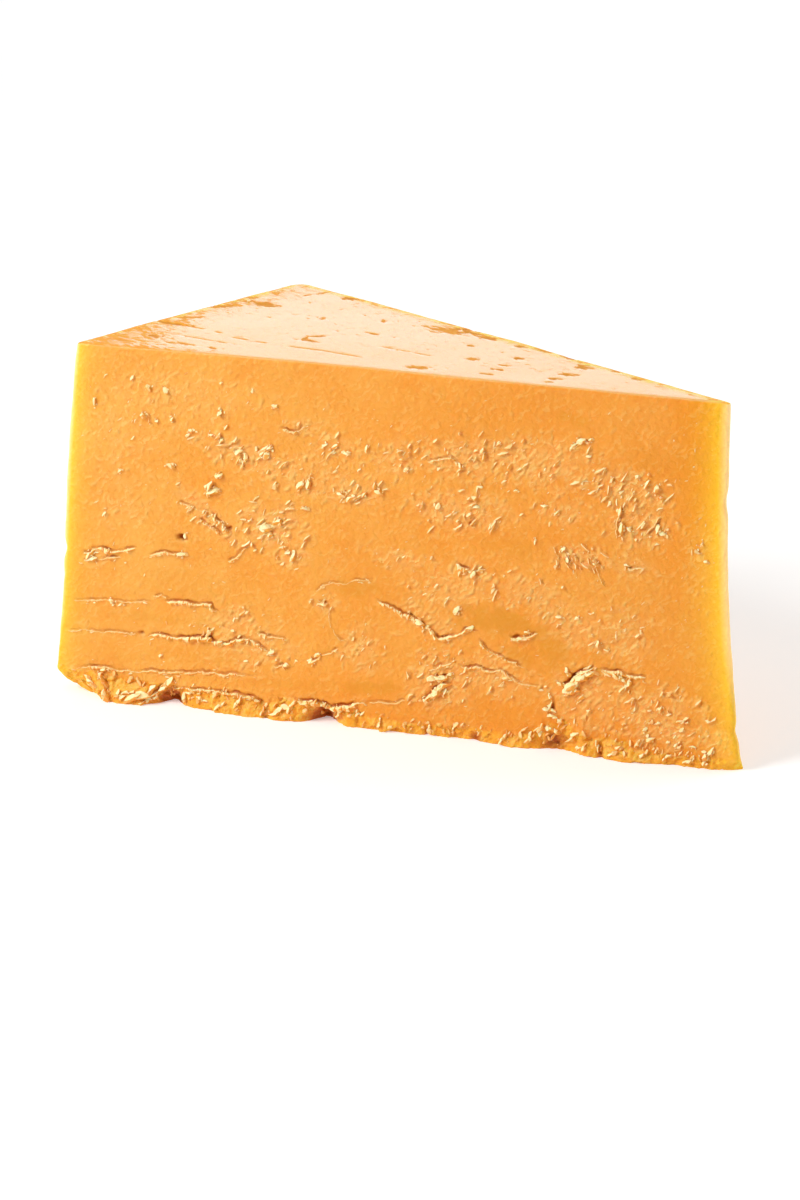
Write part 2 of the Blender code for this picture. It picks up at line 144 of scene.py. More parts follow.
CRACK_WANDER = 0.5           # how far a crack strays from its line, and how long its bends are
CRACK_BEND = 3.0
CRACK_JITTER = 0.18          # how far its small tears stray
CRACK_BEAD = 3.2             # how long its stronger and weaker stretches are
CRACK_END_SHARE = 0.15       # the share of its length in which it dies away, and its strength there
CRACK_END_DEPTH = 0.2
CRACK_SHARE = 0.55           # how much of its depth a crack has beside a hollow of the same depth
LIP_HEIGHT = 0.7
LIP_REACH = 2.2              # how far the lip reaches, in half widths of its crack
LIP_PAINTED_HIGHLIGHT = 1.2
# The torn strand that stands up below a crack: how thick, how far below, and the length and number
# of its facets.
LIP_THICKNESS = 0.54
LIP_BELOW = 0.42
LIP_STEP = 0.34
LIP_SIDES = 5

# Holes and hollows: place, half width, half height, depth.
HOLLOWS = (
    (-51.2, 40.9, 1, 0.8, 1.7), (-61, 16.4, 1, 0.6, 0.9), (-17, 28.8, 0.8, 0.5, 0.7),
    (-54, 1, 2.6, 3, 2.3), (-17, 0.8, 3.4, 2.8, 2.5), (37.5, 1.5, 4, 4.2, 0.9),
    (19.5, 0.5, 1.4, 2, 1.1), (49, 0.8, 1, 2.2, 1), (41.8, 17.8, 1.5, 1.1, 1),
    (-39.2, 44.4, 0.8, 0.6, 0.7), (28.4, 25.8, 0.8, 0.4, 0.6), (37, 10.4, 0.8, 1.2, 0.8),
    (-31.6, 3.6, 0.9, 0.8, 0.9), (-30, 1, 1, 2, 0.8), (8, 0.6, 0.8, 2, 0.8),
    (53.6, 45, 0.5, 0.4, 0.5), (7.2, 25.6, 0.6, 0.4, 0.5), (-72.8, 36.2, 0.7, 0.4, 0.5),
)
# Rounded knobs: place, half width, half height, how far they stand out.
KNOBS = (
    (-22.4, 2.6, 2.6, 2.8, 0.9), (-66, 2.2, 4.4, 2.4, 0.4), (44.4, 4, 1.6, 4.4, 0.7),
    (46.4, 1.6, 1.7, 1.6, 0.7), (-48, 2, 2.4, 2, 0.3), (13, 1.4, 1.2, 1.6, 0.4),
    (60, 1.2, 3, 1.2, 0.3),
)

# Places where the curd tore rough: middle, half width, half height, tilt in degrees, how rough,
# and the direction of its flakes in degrees.
ROUGH_PATCHES = (
    (-37, 62.5, 9, 3.2, -12, 0.80, 40), (-20, 58, 14, 5, 0, 0.45, 50), (-9, 55.5, 6, 2.6, 10, 0.75, 45),
    (-14, 66, 6, 3, 0, 0.55, 60), (-44, 46.5, 10, 2.6, -38, 0.75, 40), (-29, 45.5, 7, 5.5, 0, 0.90, 40),
    (-24, 39, 3.5, 2.4, 0, 0.80, 40), (-22, 70, 4.5, 2, 15, 0.60, 35), (0, 65, 5, 4.5, 0, 0.55, 50),
    (18, 67, 14, 5, 5, 0.62, 50), (35, 67, 11, 6, 0, 0.58, 50), (15, 54, 11, 4.6, 0, 0.70, 50),
    (39, 56, 6, 3, 0, 0.50, 50), (53, 63, 9, 4, -5, 0.65, 55), (56, 55, 7, 5, 0, 0.65, 70),
    (70, 49, 4.5, 7, 0, 0.28, 60), (42, 46, 6, 2.6, 0, 0.85, 115), (55, 45, 5, 2.2, 0, 0.50, 20),
    (2, 41, 6, 2.4, 0, 0.55, 45), (18, 40, 4.5, 2.6, -20, 0.70, 50), (13, 35, 9, 5.5, 0, 0.52, 55),
    (31, 36, 9, 4.5, -12, 0.58, 50), (43, 29, 8, 4.5, 0, 0.60, 50), (53, 28, 6, 7, 0, 0.52, 60),
    (-36, 17, 11, 6, 0, 0.55, 40), (-39, 23, 4, 3.4, 0, 0.60, 60), (-8, 19, 5, 5.5, 0, 0.50, 55),
    (11, 13, 7, 7, 0, 0.65, 50), (24, 16, 9, 5, -10, 0.58, 50), (45, 13, 9, 6.5, 0, 0.60, 50),
    (62, 10, 9, 7, 0, 0.65, 50), (-72, 34, 4, 2, 10, 0.35, 40), (-17, 29, 3, 2.2, 0, 0.50, 40),
    (-68, 55, 9, 5.5, 0, 0.22, 45), (8, 27, 8, 3, -25, 0.55, 50), (74, 6, 4, 5, 0, 0.60, 60),
    (-52, 74, 17, 6, 0, 0.30, 60), (-64, 64, 9, 5, 0, 0.25, 50), (-66, 46, 8, 4, 0, 0.28, 45),
)
# Torn scales: width, how much longer than wide, and height.
ROUGH_GRAIN = 1.15
ROUGH_STRETCH = 2.2
ROUGH_HEIGHT = 0.11
# How ragged the rims of torn patches, smears and scrapes are, and how long their rags are.
ROUGH_EDGE = 0.55
SMEAR_EDGE = 0.45
SCRAPE_EDGE = 0.2
RIM_GRAIN = 2.6

# The finest scales: how many to the metre, and how strong they are where the curd isn't torn.
SCALES_PER_METRE = 950.0
SCALE_STRETCH = 1.8
SCALE_SLANT = 45.0           # the way they lie, in degrees
PLAIN_SCALES = 0.23
SCALE_STRAY = 0.0034         # how far, in metres, they stray, and how many such strays to the metre
STRAYS_PER_METRE = 420.0

# A highlight is painted where the curd stands proud of what is round it, and shade where it lies lower,
# within this reach and from this height.
PROUD_REACH = 1.1
PROUD_HEIGHT = 0.45

# Slivers of torn curd that stand out of the face, with a painted highlight along them and painted shade in
# a furrow at their lower right.
SLIVERS_PER_SQUARE_CM = 90
STRAY_SLIVERS = 1800
SLIVER_HEIGHT = 0.28
FURROW_DEPTH = 0.65
LOOSE_SLIVER = 0.78          # a sliver as strong as this stands free of the face

# Places where the knife pressed the curd smooth: middle, half width, half height, tilt, how strongly.
SMEARS = (
    (-9, 33, 5.6, 1.9, 8, 0.5), (-18.6, 58.8, 4.2, 1.3, 4, 0.1), (25, 28.8, 12, 3, -6, 0.75),
    (36.5, 24, 3.4, 5, 10, 0.6), (30, 20.6, 5.4, 2.4, -20, 0.5), (-5.5, 9.8, 8, 1.7, 6, 0.6),
    (41, 77.8, 4, 1.4, -6, 0.4), (-52, 30, 9, 3, 3, 0.2), (-41, 62.8, 3.6, 1.2, -10, 0.3),
    (62, 70, 9, 3, 0, 0.2), (68, 62, 6, 4, 20, 0.1), (20, 6.4, 13, 2.2, 4, 0.15),
    (-46, 12.6, 13, 1.8, 3, 0.25), (28, 46.5, 6, 2.4, 0, 0.3), (-66, 11, 9, 2, 2, 0.15),
    (-24, 8.6, 12, 1.3, 3, 0.2), (-58, 20.6, 11, 1.2, 2, 0.3),
)

# Slow waves: height, size, how much flatter than wide, seed.
CUT_FACE_WAVES = ((0.35, 26.0, 1.6, 3), (0.12, 9.0, 2.5, 4))
OUTER_SIDE_WAVES = ((0.30, 30.0, 1.0, 41), (0.14, 17.0, 2.5, 42), (0.018, 2.6, 1.4, 43),
                    (0.08, 18.0, 9.0, 44))
TOP_WAVES = ((0.08, 14.0, 1.0, 31), (0.016, 2.2, 1.6, 32))
FACE_PEBBLES = ((0.040, 2.1, 1.3, 51), (0.030, 1.0, 1.0, 52))
FACE_DRAG_LINES = (0.09, 2.2, 16.0, 61)   # height, spacing, how much longer than high, seed

# The low swell of the top: place, half length, half width, height.
TOP_SWELL = (-25.0, 12.0, 45.0, 30.0, 0.5)

# Scrapes in the glossy top: place, half length, half width, direction in degrees, how bare.
TOP_SCRAPES = (
    (-61, 20.6, 5.5, 0.9, -14, 0.9), (-66, 4.6, 4.5, 1, -8, 0.5), (-54, 37, 3, 1.3, 20, 0.7),
    (-45, 41.5, 4, 1.6, -10, 0.8), (-49, 46, 1.8, 1, 40, 0.5),
    (-24.5, 19.6, 1.9, 0.5, 25, 0.9), (-26.6, 17, 0.6, 2.2, 0, 0.8), (-24.2, 15.4, 1.9, 0.5, -20, 0.9),
    (-27, 52, 2, 1.2, 10, 0.9), (-13, 25.4, 1.7, 0.5, -18, 0.8), (-14, 35.8, 0.6, 1.3, 10, 0.6),
    (-28, 34, 0.6, 1.4, 20, 0.5), (1.5, 33.6, 5, 2.4, -12, 0.55), (6.5, 34.4, 2.6, 2.2, -30, 0.9),
    (12.5, 30.6, 3, 1.2, -28, 0.8), (10.4, 23.4, 1, 0.8, 0, 0.8), (13.6, 13.8, 1.8, 1.2, 20, 0.6),
    (21.4, 26.4, 1.2, 0.9, 0, 0.9), (27.5, 25, 2.4, 0.8, -28, 0.7), (33.6, 22, 2.8, 0.9, -28, 0.9),
    (19.8, 4.2, 1.5, 0.5, 0, 0.9), (21.2, 8, 1.2, 0.5, 0, 0.9), (22, 11.4, 1.2, 0.5, 0, 0.7),
    (23.8, 17.2, 1.3, 0.7, 0, 0.9), (34.2, 3, 1.2, 0.5, 0, 0.8), (34.8, 5.6, 1.7, 0.6, 0, 0.9),
    (36.6, 9.4, 1.6, 1, 0, 0.8), (38.8, 15.6, 1.8, 1.6, 0, 0.8), (52, 10.6, 1.6, 0.6, -20, 0.8),
    (4, 4, 2.6, 1, 0, 0.7), (-44.5, 4.4, 1.8, 0.5, -20, 0.8), (-52, 5.6, 3.6, 0.7, -4, 0.6),
    (-60, 9.4, 2, 1, -20, 0.8), (46, 15, 2, 0.5, -28, 0.6), (-47, 54, 2.6, 0.7, 60, 0.6),
    (-35, 54.6, 1.5, 0.6, 50, 0.5), (-38, 51.5, 1.2, 0.5, 60, 0.5), (-58, 26, 3.4, 0.8, 10, 0.6),
)
# Long scratches in the top: half width, then the places each one runs through.
TOP_SCRATCHES = (
    (0.28, (-66, 22.6), (-58, 20.0), (-46, 15.8)),
    (0.22, (-30, 10.4), (-20, 9.4), (-10, 7.2)),
    (0.22, (-44, 13.6), (-34, 11.2)),
    (0.18, (-8, 16.0), (4, 13.2)),
    (0.16, (-56, 12.0), (-40, 8.0)),
)
SCRAPE_DEPTH = 0.20
SCRATCH_DEPTH = 0.10
SCRAPE_STREAKS = (0.75, 3.0, -22.0)   # width, how much longer than wide, direction in degrees
TOP_PITS = 170
# How far in from the short and the long back edge the top is marked, and how densely.
EDGE_MARKS = ((17.0, 1.15), (7.0, 1.0))
LEAST_MARKED = 0.22
MARKS_PER_METRE = 1350.0
CLUMPS_PER_METRE = 150.0
MARK_STRETCH = 3.5
MARK_SLANT = -20.0                    # the way the marks lie, in degrees
TOP_RIM = 3.4                         # how far the painted yellow light along the top's back edges reaches in from them

# Nicks in the two upright edges of the cut face: which end, height, half height, depth.
NICKS = ((-1, 35.0, 1.6, 1.1), (-1, 28.5, 1.3, 0.6), (1, 62.0, 2.5, 0.5), (1, 9.0, 1.8, 0.7))
NICK_REACH = 9.0

# The left foot corner is broken off, most of all at the very foot.
CHIP_HEIGHT = 6.4
CHIP_DEPTH = 7.0
CHIP_REACH = 17.0
CHIP_LAW = 1.7

# Crumbs that stand out from the rest: place, length, direction in degrees.
BIG_CRUMBS = (
    (-43.8, 54.2, 2.4, 60), (-43.2, 52.6, 2.2, 20), (-44.4, 52, 1.6, 110), (-42.2, 53.2, 1.6, 0),
    (-30.6, 64, 2.4, 40), (-30.2, 62.6, 1.8, 70), (-31.4, 63, 1.6, 10), (-29.4, 64.4, 1.4, 30),
    (-30.5, 45.4, 3, 35), (-27.4, 47.4, 2.4, 40), (-41.8, 56.6, 1.8, 20), (-53, 57.6, 1.9, -25),
    (-65.4, 55.4, 1.3, 60), (-35.2, 61.6, 1.8, 80), (-37, 62.8, 1.6, 30), (-20.2, 57, 1.9, 70),
    (-22.2, 56.4, 1.8, 40), (-28.2, 55.6, 1.6, 60), (-21.2, 51, 1.5, 0), (-11.6, 64.8, 1.6, 0),
    (-14.2, 66, 1.5, 45), (-16.6, 66.2, 1.2, 30), (-14.6, 64.8, 1.1, 10), (-6.8, 66.4, 1.5, 80),
    (1, 66.6, 1.4, 20), (3, 66, 1.5, 60), (2.8, 62.6, 1.6, 30), (-4.2, 56.6, 1.9, -20),
    (-10.2, 54.4, 2, 25), (-12.4, 55, 1.6, -10), (-7.2, 55.8, 1.5, 40), (-4.6, 58, 1.4, 80),
    (-58, 75.8, 1.6, -60), (-54, 75.6, 1.5, -55), (-59.2, 69.2, 1.9, -60), (-56.2, 68.2, 1, 0),
    (-52.6, 69, 1.4, 45), (-71.2, 71.4, 1.4, 80), (-41, 71.6, 1.8, 55), (-39.6, 68.4, 1.1, 60),
    (-28, 74.2, 1.4, -25), (-33.2, 77.4, 1, 70), (-40.6, 78.6, 0.9, 40), (-62, 77.8, 1, 60),
    (-48.2, 66.6, 1.3, 0), (-49, 65.4, 1.1, 40), (-43.2, 66.2, 1.2, 20), (-41, 65, 1.5, 60),
    (-76.8, 47.2, 1.4, -10), (-69.6, 44.6, 1.2, 50), (-72.6, 33.4, 1.8, 20), (-74, 34, 1.4, 60),
    (-50.2, 41.4, 1.3, 70), (-51, 36.6, 1.6, 0), (-24, 38.8, 1.9, 70), (-25.2, 40, 1.5, 0),
    (-68.4, 23.6, 1.4, 10), (-71.2, 5.4, 1.5, 60), (-70.6, 6.6, 1.2, 10), (-17.2, 28.4, 1.8, 0),
    (-42, 16.2, 1.9, 40), (-44.6, 18.6, 1.6, 80), (-29.4, 15.6, 1.6, 30), (-18.2, 16.2, 1.6, 30),
    (-20, 14.6, 1.2, 60), (-25.6, 12.6, 1.5, 0), (-56.4, 11.6, 1, 40),
    (15.2, 64.8, 1.5, -40), (42.4, 73, 1.7, 35), (44.6, 73.4, 1.2, 20), (40.4, 71.6, 1.4, 50),
    (44.2, 69.8, 1, 0), (55, 66, 1.3, 10), (57.2, 64.4, 1.8, 55), (59.4, 63.8, 1.8, 60),
    (60.6, 61.6, 1.4, -30), (49.6, 65, 1.4, 50), (51.6, 57.6, 1.6, 80), (51.8, 54, 2.2, 75),
    (53.6, 53.8, 1.4, -20), (60, 54.4, 2.2, 70), (61, 53.4, 1.6, -10), (69.8, 52, 1.3, 60),
    (68.8, 50.4, 1.4, -30), (71, 48, 1.1, 0), (74, 46.2, 1, 60), (34.4, 57.2, 1.3, 0),
    (37.2, 55.8, 1.4, 40), (28, 60, 1, 0), (32.4, 48.8, 1.2, 80), (22, 51.2, 1.2, 60),
    (18.6, 55.4, 1.4, 0), (10, 54.6, 1.4, 60), (19.6, 60.2, 1, 0), (38.6, 47.6, 1.3, 40),
    (39.8, 45.2, 1.6, 100), (41.8, 46, 1.4, 110), (46.4, 45, 1.4, -30), (53.4, 45.4, 1.2, 0),
    (18.4, 39.8, 1.7, 60), (20, 40.6, 1.3, 20), (14.4, 30.4, 1.7, 60), (5.6, 26.6, 2, -30),
    (7.2, 25.6, 1.6, 20), (17.6, 26.4, 1.6, 20), (29, 25.2, 1.6, 30), (31, 27, 1.2, 0),
    (40.6, 15, 2, 30), (42.4, 15.6, 1.6, 60), (39, 15.6, 1.5, -30), (52.8, 18.4, 1.8, -40),
    (54.4, 18, 1.8, 60), (49.6, 19.2, 1.3, 0), (10.6, 13.8, 1.7, 0), (13, 15, 1.6, 20),
    (11, 12.2, 1.8, 50), (12, 10.8, 1.5, 70), (60.2, 5.6, 1.7, 20), (61.8, 12.6, 1.5, 70),
    (58.6, 7.4, 1.3, 60), (65.8, 4.6, 1.4, 60), (72.6, 2.8, 2, 80), (73.8, 4.4, 1.6, 50),
    (60, 9.6, 1.2, 40), (66.2, 10.4, 1.3, 20), (69.8, 5, 1.2, 0), (47, 26, 1.5, 70),
    (38.2, 31.6, 1.3, 0), (42.4, 31.8, 1.2, 20), (49.2, 24.8, 1.1, 0), (45.6, 10.4, 1.1, 30),
)
# Long flakes, with a painted highlight, torn up along the foot and beside the deep cracks: place, length,
# direction in degrees.
TORN_FLAKES = (
    (-73.5, 3.6, 3.4, -40), (-69.5, 3, 4.2, -65), (-66.5, 1.6, 2.4, 70), (-64, 2.2, 3.2, 20),
    (-60.4, 2.3, 5.6, 30), (-58.6, 1.4, 2.4, 10), (-54.9, 4.9, 3.8, 40), (-50.6, 1.6, 2.8, 80),
    (-49, 3.6, 2, 10), (-46, 2.4, 2.2, -30), (-41.4, 1.6, 2.4, 40), (-37, 3, 2.4, 60),
    (-33.4, 4, 2, -20), (-30.8, 1.8, 2.4, 70), (-27, 2.2, 3.6, 30), (-24, 3.6, 2.8, 50),
    (-20.6, 4.8, 2.6, 20), (-13, 2.6, 2.6, 60), (-8, 3.2, 2.2, 20), (-3, 1.8, 2, 70),
    (3, 1.5, 2, 100), (8.6, 1.7, 1.8, 80), (14, 1.6, 2, 70), (20, 1.5, 1.8, 60),
    (26, 1.7, 2.2, 50), (32, 2.4, 2.4, 60), (34.6, 4.6, 2.4, 80), (42, 3.6, 3.2, 55),
    (44.2, 1.7, 2.4, 30), (48, 2.6, 2.2, 100), (52, 2, 2.6, 50), (58, 1.5, 2.2, 60),
    (64, 1.7, 2.4, 40), (69, 1.6, 2.6, 30), (72.6, 1.9, 2.2, 60),
    (42.6, 16.8, 4.5, 40), (45.4, 19, 3.4, 15), (41.6, 14.4, 3.2, 25), (40.4, 18.6, 2, 115),
    (52.6, 18.6, 3, -40), (54, 17.2, 3, 50), (11, 11.6, 4, 40), (10.5, 14, 3.6, 5),
    (36.5, 9.4, 2.6, -10), (38, 7.8, 3, -20), (37.5, 5, 2.8, -15), (29, 24.9, 2.6, 10),
)
CRUMB_PAINTED_SHADOW = 0.6            # how dark the shadow painted on the ground at a crumb's lower right is
CRUMB_SPREAD = 0.12          # how unevenly a crumb's corners stand out
CRUMB_PARTS = 6              # small pieces beside a big crumb
FLAKE_SPREAD = 0.30
BIT_FACETS = 9               # flat facets broken off each bit
BIT_SWELL = 1.35             # how much larger it is before that
FACET_REACH = (0.45, 1.0)    # how far out those facets lie, in half sizes
LOOSE_BITS = 700
LIP_BITS_PER_MM = 0.5
FOOT_BITS = 170
FLAKES_PER_SQUARE_CM = 19
FLAKE_BEND = 0.12            # how bent a flake is, as a share of its length
FLAKE_TURN = 0.36            # how far it strays from its patch's direction, in radians
PAINTED_LIGHT_SIDE = (-0.52, -0.60, 0.61)      # the way the painted light comes from: facets and slopes that face it get a painted highlight

# Colours, as the shaders use them.
CHEDDAR = (0.900, 0.412, 0.060)
CHEDDAR_DEEP = (0.880, 0.355, 0.036)
CHEDDAR_PALE = (0.940, 0.460, 0.085)
RICH_CHEDDAR = (0.880, 0.272, 0.003)
TORN_CURD = (0.920, 0.440, 0.115)
BROKEN_CURD = (0.980, 0.420, 0.014)
# Painted highlight and painted shade of the broken foot.
BROKEN_CURD_HIGHLIGHT = (1.000, 0.660, 0.130)
BROKEN_SHADE = (0.800, 0.200, 0.004)
SMEARED_CURD = (0.740, 0.290, 0.008)
# Painted shade in furrows and cracks, and painted highlight on raised places.
FURROW_SHADE = (0.820, 0.235, 0.008)
CRACK_SHADE = (0.500, 0.105, 0.004)
RAISED_CURD_HIGHLIGHT = (1.000, 0.690, 0.220)
# Painted light that comes through the thin upright edges, deeper in and at the very edge.
THIN_EDGE_PAINTED_LIGHT = (1.000, 0.780, 0.006)
EDGE_PAINTED_LIGHT = (1.000, 0.760, 0.300)
# The paler colour of the glossy top: partly its own colour, partly a painted sheen.
TOP_CURD_AND_SHEEN = (0.930, 0.490, 0.130)
TOP_STAIN = (0.900, 0.370, 0.040)
DENT_STAIN = (0.660, 0.240, 0.015)
# Painted glow of the thin upright edges, deeper in and at the very edge, given out as emission.
THIN_EDGE_PAINTED_GLOW = (0.667, 0.480, 0.040)
EDGE_PAINTED_GLOW = (1.000, 0.830, 0.450)
TOP_RIM_PAINTED_LIGHT = (0.960, 0.700, 0.090)
# Painted highlight on the light-facing facets of loose curd, then the loose curd's own colour.
CRUMB_PAINTED_HIGHLIGHT = (1.000, 0.870, 0.450)
CRUMB_ROOT = (0.930, 0.370, 0.028)
FLOOR_WHITE = (0.88, 0.88, 0.88)
FLOOR_GLOW = 0.28            # light that the floor adds of its own, so that it shows as white

# The less rich oval at the middle right of the cut face: place, half width, half height.
PALE_OVAL = (54, 36, 20, 14)
# How far in from the upright edges the light that comes through is painted, as a yellow colour and a glow,
# and
# how it falls off on the right: how much less it is at the foot, and the heights where that begins and
# ends.
LEFT_THIN_REACH = 2.0
RIGHT_THIN_REACH = 4.9
RIGHT_THIN_LAW = 1.3
RIGHT_THIN_FADE = (0.4, 32, 6)
EDGE_THINNESS = (0.42, 0.66)          # how thin it is where the palest painted light at the edge begins and is full
PAINTED_GLOW_STRENGTH = 0.30

# How many clouds, specks and pebbles of curd and of its oily film go to the metre.
PALE_CLOUDS_PER_METRE = 160.0
SPECKS_PER_METRE = 1100.0
PEBBLES_PER_METRE = 850.0
FILM_CLOUDS_PER_METRE = 260.0
# The size of the broadest clouds in metres, and how strong the specks are.
WEDGE_CLOUDS = (0.014, 0.35)
CRUMB_CLOUDS = (0.006, 0.30)
# Roughness where the film is dry and where it is oily.
CUT_FILM = (0.52, 0.36)
TOP_FILM = (0.20, 0.11)
CRUMB_FILM = (0.42, 0.28)
# How strong the fine bumps are, and how high in metres.
WEDGE_BUMPS = (0.9, 0.0005)
CRUMB_BUMPS = (0.35, 0.0002)
# How much light goes into the curd, how deep in metres, and how far red, green and blue go.
WEDGE_LIGHT = (0.45, 0.0011)
CRUMB_LIGHT = (0.30, 0.0003)
LIGHT_REACH = (1.0, 0.45, 0.2)
CHEESE_IOR = 1.46

WORLD_LIGHT = 0.27           # how bright the studio is all round
WORLD_SHINE = 0.62           # how bright it is where the cheese mirrors it
# The lamps: name, direction from the wedge, distance, width and height in metres, and brightness.
LAMPS = (
    ("key", (-0.62, -0.55, 0.60), 0.9, 0.36, 0.36, 14.2),
    ("backlight", (-0.15, 0.93, 0.34), 1.0, 1.3, 0.7, 0.85),
    ("overhead", (0.05, -0.1, 1.0), 1.2, 1.2, 1.2, 0.6),
    ("edge_light", (0.80, 0.50, 0.30), 0.9, 0.5, 0.7, 3.0),
)
LAMP_AIM_HEIGHT = 0.04       # in metres

# The camera: what it looks at, in millimetres, where it stands and its lens.
CAMERA_AIM = (1.9, -30.8, 31.4)
CAMERA_DISTANCE = 824.0
CAMERA_AZIMUTH = 17.2
CAMERA_ELEVATION = 20.8
CAMERA_LENS = 110.0


def smooth(value, start, end):
    """Goes from 0 at start to 1 at end, gently at both."""
    share = np.clip((value - start) / (end - start), 0.0, 1.0)
    return share * share * (3 - 2 * share)


def scatter(column, row, seed):
    """A repeatable draw from 0 to 1 for each cell of a grid."""
    mixed = (column * 374761393 + row * 668265263 + seed * 974634777) & 0xFFFFFFFF
    mixed = ((mixed ^ (mixed >> 13)) * 1274126177) & 0xFFFFFFFF
    return (mixed ^ (mixed >> 16)) / 0xFFFFFFFF


def noise(u, v, size, seed):
    """Gradient noise from about -1 to 1, with bumps of the given size."""
    u, v = u / size, v / size
    column, row = np.floor(u).astype(np.int64), np.floor(v).astype(np.int64)
    total = np.zeros_like(u)
    for next_column in (0, 1):
        for next_row in (0, 1):
            turn = 2 * math.pi * scatter(column + next_column, row + next_row, seed)
            du, dv = u - column - next_column, v - row - next_row
            slope = np.cos(turn) * du + np.sin(turn) * dv
            total += slope * smooth(1 - abs(du), 0, 1) * smooth(1 - abs(dv), 0, 1)
    return 1.6 * total


def chips(u, v, size, seed):
    """Tilted chips of curd that break off against each other, from about -1 to 1."""
    u, v = u / size, v / size
    column, row = np.floor(u).astype(np.int64), np.floor(v).astype(np.int64)
    nearest = np.full_like(u, np.inf)
    height = np.zeros_like(u)
    for side in (-1, 0, 1):
        for up in (-1, 0, 1):
            cell = column + side, row + up
            du = u - cell[0] - scatter(*cell, seed)
            dv = v - cell[1] - scatter(*cell, seed + 1)
            away = np.hypot(du, dv)
            tilt_u, tilt_v = scatter(*cell, seed + 2) - 0.5, scatter(*cell, seed + 3) - 0.9
            chip = 2.2 * (tilt_u * du + tilt_v * dv) + scatter(*cell, seed + 4) - 0.5
            height = np.where(away < nearest, chip, height)
            nearest = np.minimum(away, nearest)
    return height


def waves(u, v, kinds):
    """Slow swells of a face, one kind on top of another."""
    return sum(height * noise(u, flatter * v, size, seed) for height, size, flatter, seed in kinds)


def dome(u, v, middle_u, middle_v, half_width, half_height):
    """1 in the middle of an oval, falling softly to nothing outside it."""
    return np.exp(-((u - middle_u) / half_width) ** 2 - ((v - middle_v) / half_height) ** 2)


def lies_along(u, v, degrees):
    """Distances along and across a direction."""
    cos, sin = math.cos(math.radians(degrees)), math.sin(math.radians(degrees))
    return u * cos + v * sin, v * cos - u * sin


def oval(u, v, middle_u, middle_v, half_width, half_height, tilt, ragged, seed):
    """Share of the way from the middle of a tilted oval to its ragged rim, which is at 1."""
    along, across = lies_along(u - middle_u, v - middle_v, tilt)
    return np.hypot(along / half_width, across / half_height) + ragged * noise(u, v, RIM_GRAIN, seed)


def beside_path(u, v, path):
    """Height above the nearest stretch of a broken line, and the share of its length passed there."""
    lengths = [math.dist(a, b) for a, b in zip(path, path[1:])]
    nearest = np.full_like(u, np.inf)
    above = np.zeros_like(u)
    passed = np.zeros_like(u)
    done = 0.0
    for (u0, v0), (u1, v1), length in zip(path, path[1:], lengths):
        du, dv = (u1 - u0) / length, (v1 - v0) / length
        along = np.clip((u - u0) * du + (v - v0) * dv, 0, length)
        across = (v - v0) * du - (u - u0) * dv
        away = np.hypot(u - u0 - along * du, v - v0 - along * dv)
        closer = away < nearest
        nearest = np.where(closer, away, nearest)
        above = np.where(closer, np.copysign(away, across), above)
        passed = np.where(closer, (done + along) / sum(lengths), passed)
        done += length
    return above, passed


class FaceGrid:
    """A fine square grid laid over one face, whose places hold the relief and the finish there."""

    CELL = 0.15

    def __init__(self, left, right, low, high):
        self.left, self.low = left, low
        self.u, self.v = np.meshgrid(np.arange(left, right, self.CELL), np.arange(low, high, self.CELL))

    def around(self, places, reach):
        """The part of the grid within reach of some places."""
        spans = []
        for values, start, count in zip(zip(*places), (self.left, self.low), self.u.shape[::-1]):
            first = int((min(values) - reach - start) / self.CELL)
            last = int((max(values) + reach - start) / self.CELL) + 1
            spans.append(slice(max(first, 0), min(max(last, 0), count)))
        return spans[1], spans[0]

    def around_oval(self, place, share):
        """The part of the grid round an oval's middle, within a share of its greater half size."""
        return self.around([place[:2]], share * max(place[2:4]))

    def read(self, values, u, v):
        """Values of the grid at any places, worked out between its points."""
        rows, columns = values.shape
        column = np.clip((u - self.left) / self.CELL, 0, columns - 1.001)
        row = np.clip((v - self.low) / self.CELL, 0, rows - 1.001)
        left_column, low_row = column.astype(int), row.astype(int)
        right, up = column - left_column, row - low_row

        def along_row(at):
            return values[at, left_column] * (1 - right) + values[at, left_column + 1] * right

        return along_row(low_row) * (1 - up) + along_row(low_row + 1) * up

    def read_one(self, values, u, v):
        """The value nearest to one place."""
        rows, columns = values.shape
        row = min(max(round((v - self.low) / self.CELL), 0), rows - 1)
        column = min(max(round((u - self.left) / self.CELL), 0), columns - 1)
        return float(values[row, column])

    def blurred(self, values, reach):
        """Values averaged over a square around each place."""
        cells = int(reach / self.CELL)
        for axis in (0, 1):
            margin = [(0, 0), (0, 0)]
            margin[axis] = (cells + 1, cells)
            total = np.cumsum(np.pad(values, margin, mode="edge"), axis=axis)
            count = values.shape[axis]
            ahead = np.take(total, np.arange(2 * cells + 1, 2 * cells + 1 + count), axis=axis)
            behind = np.take(total, np.arange(count), axis=axis)
            values = (ahead - behind) / (2 * cells + 1)
        return values


def raise_where(layer, span, values):
    """Lift a stretch of a layer to some values where they are higher."""
    layer[span] = np.maximum(layer[span], values)


def moved(x, z, along, across, turn):
    """A place moved along and across a direction."""
    return (x + along * math.cos(turn) - across * math.sin(turn),
            z + along * math.sin(turn) + across * math.cos(turn))


def strewn_over(draw, patch, per_square_cm):
    """Places strewn over a torn patch, fewer towards its rim, each with its flake's direction."""
    x, z, half_width, half_height, tilt, rough, slant = patch
    for _ in range(draw.poisson(per_square_cm * rough * math.pi * half_width * half_height / 100)):
        reach, turn = 1.3 * draw.random() ** 0.65, draw.uniform(0, 2 * math.pi)
        along, across = reach * half_width * math.cos(turn), reach * half_height * math.sin(turn)
        direction = math.radians(slant) + draw.normal(0, FLAKE_TURN)
        yield *moved(x, z, along, across, math.radians(tilt)), direction


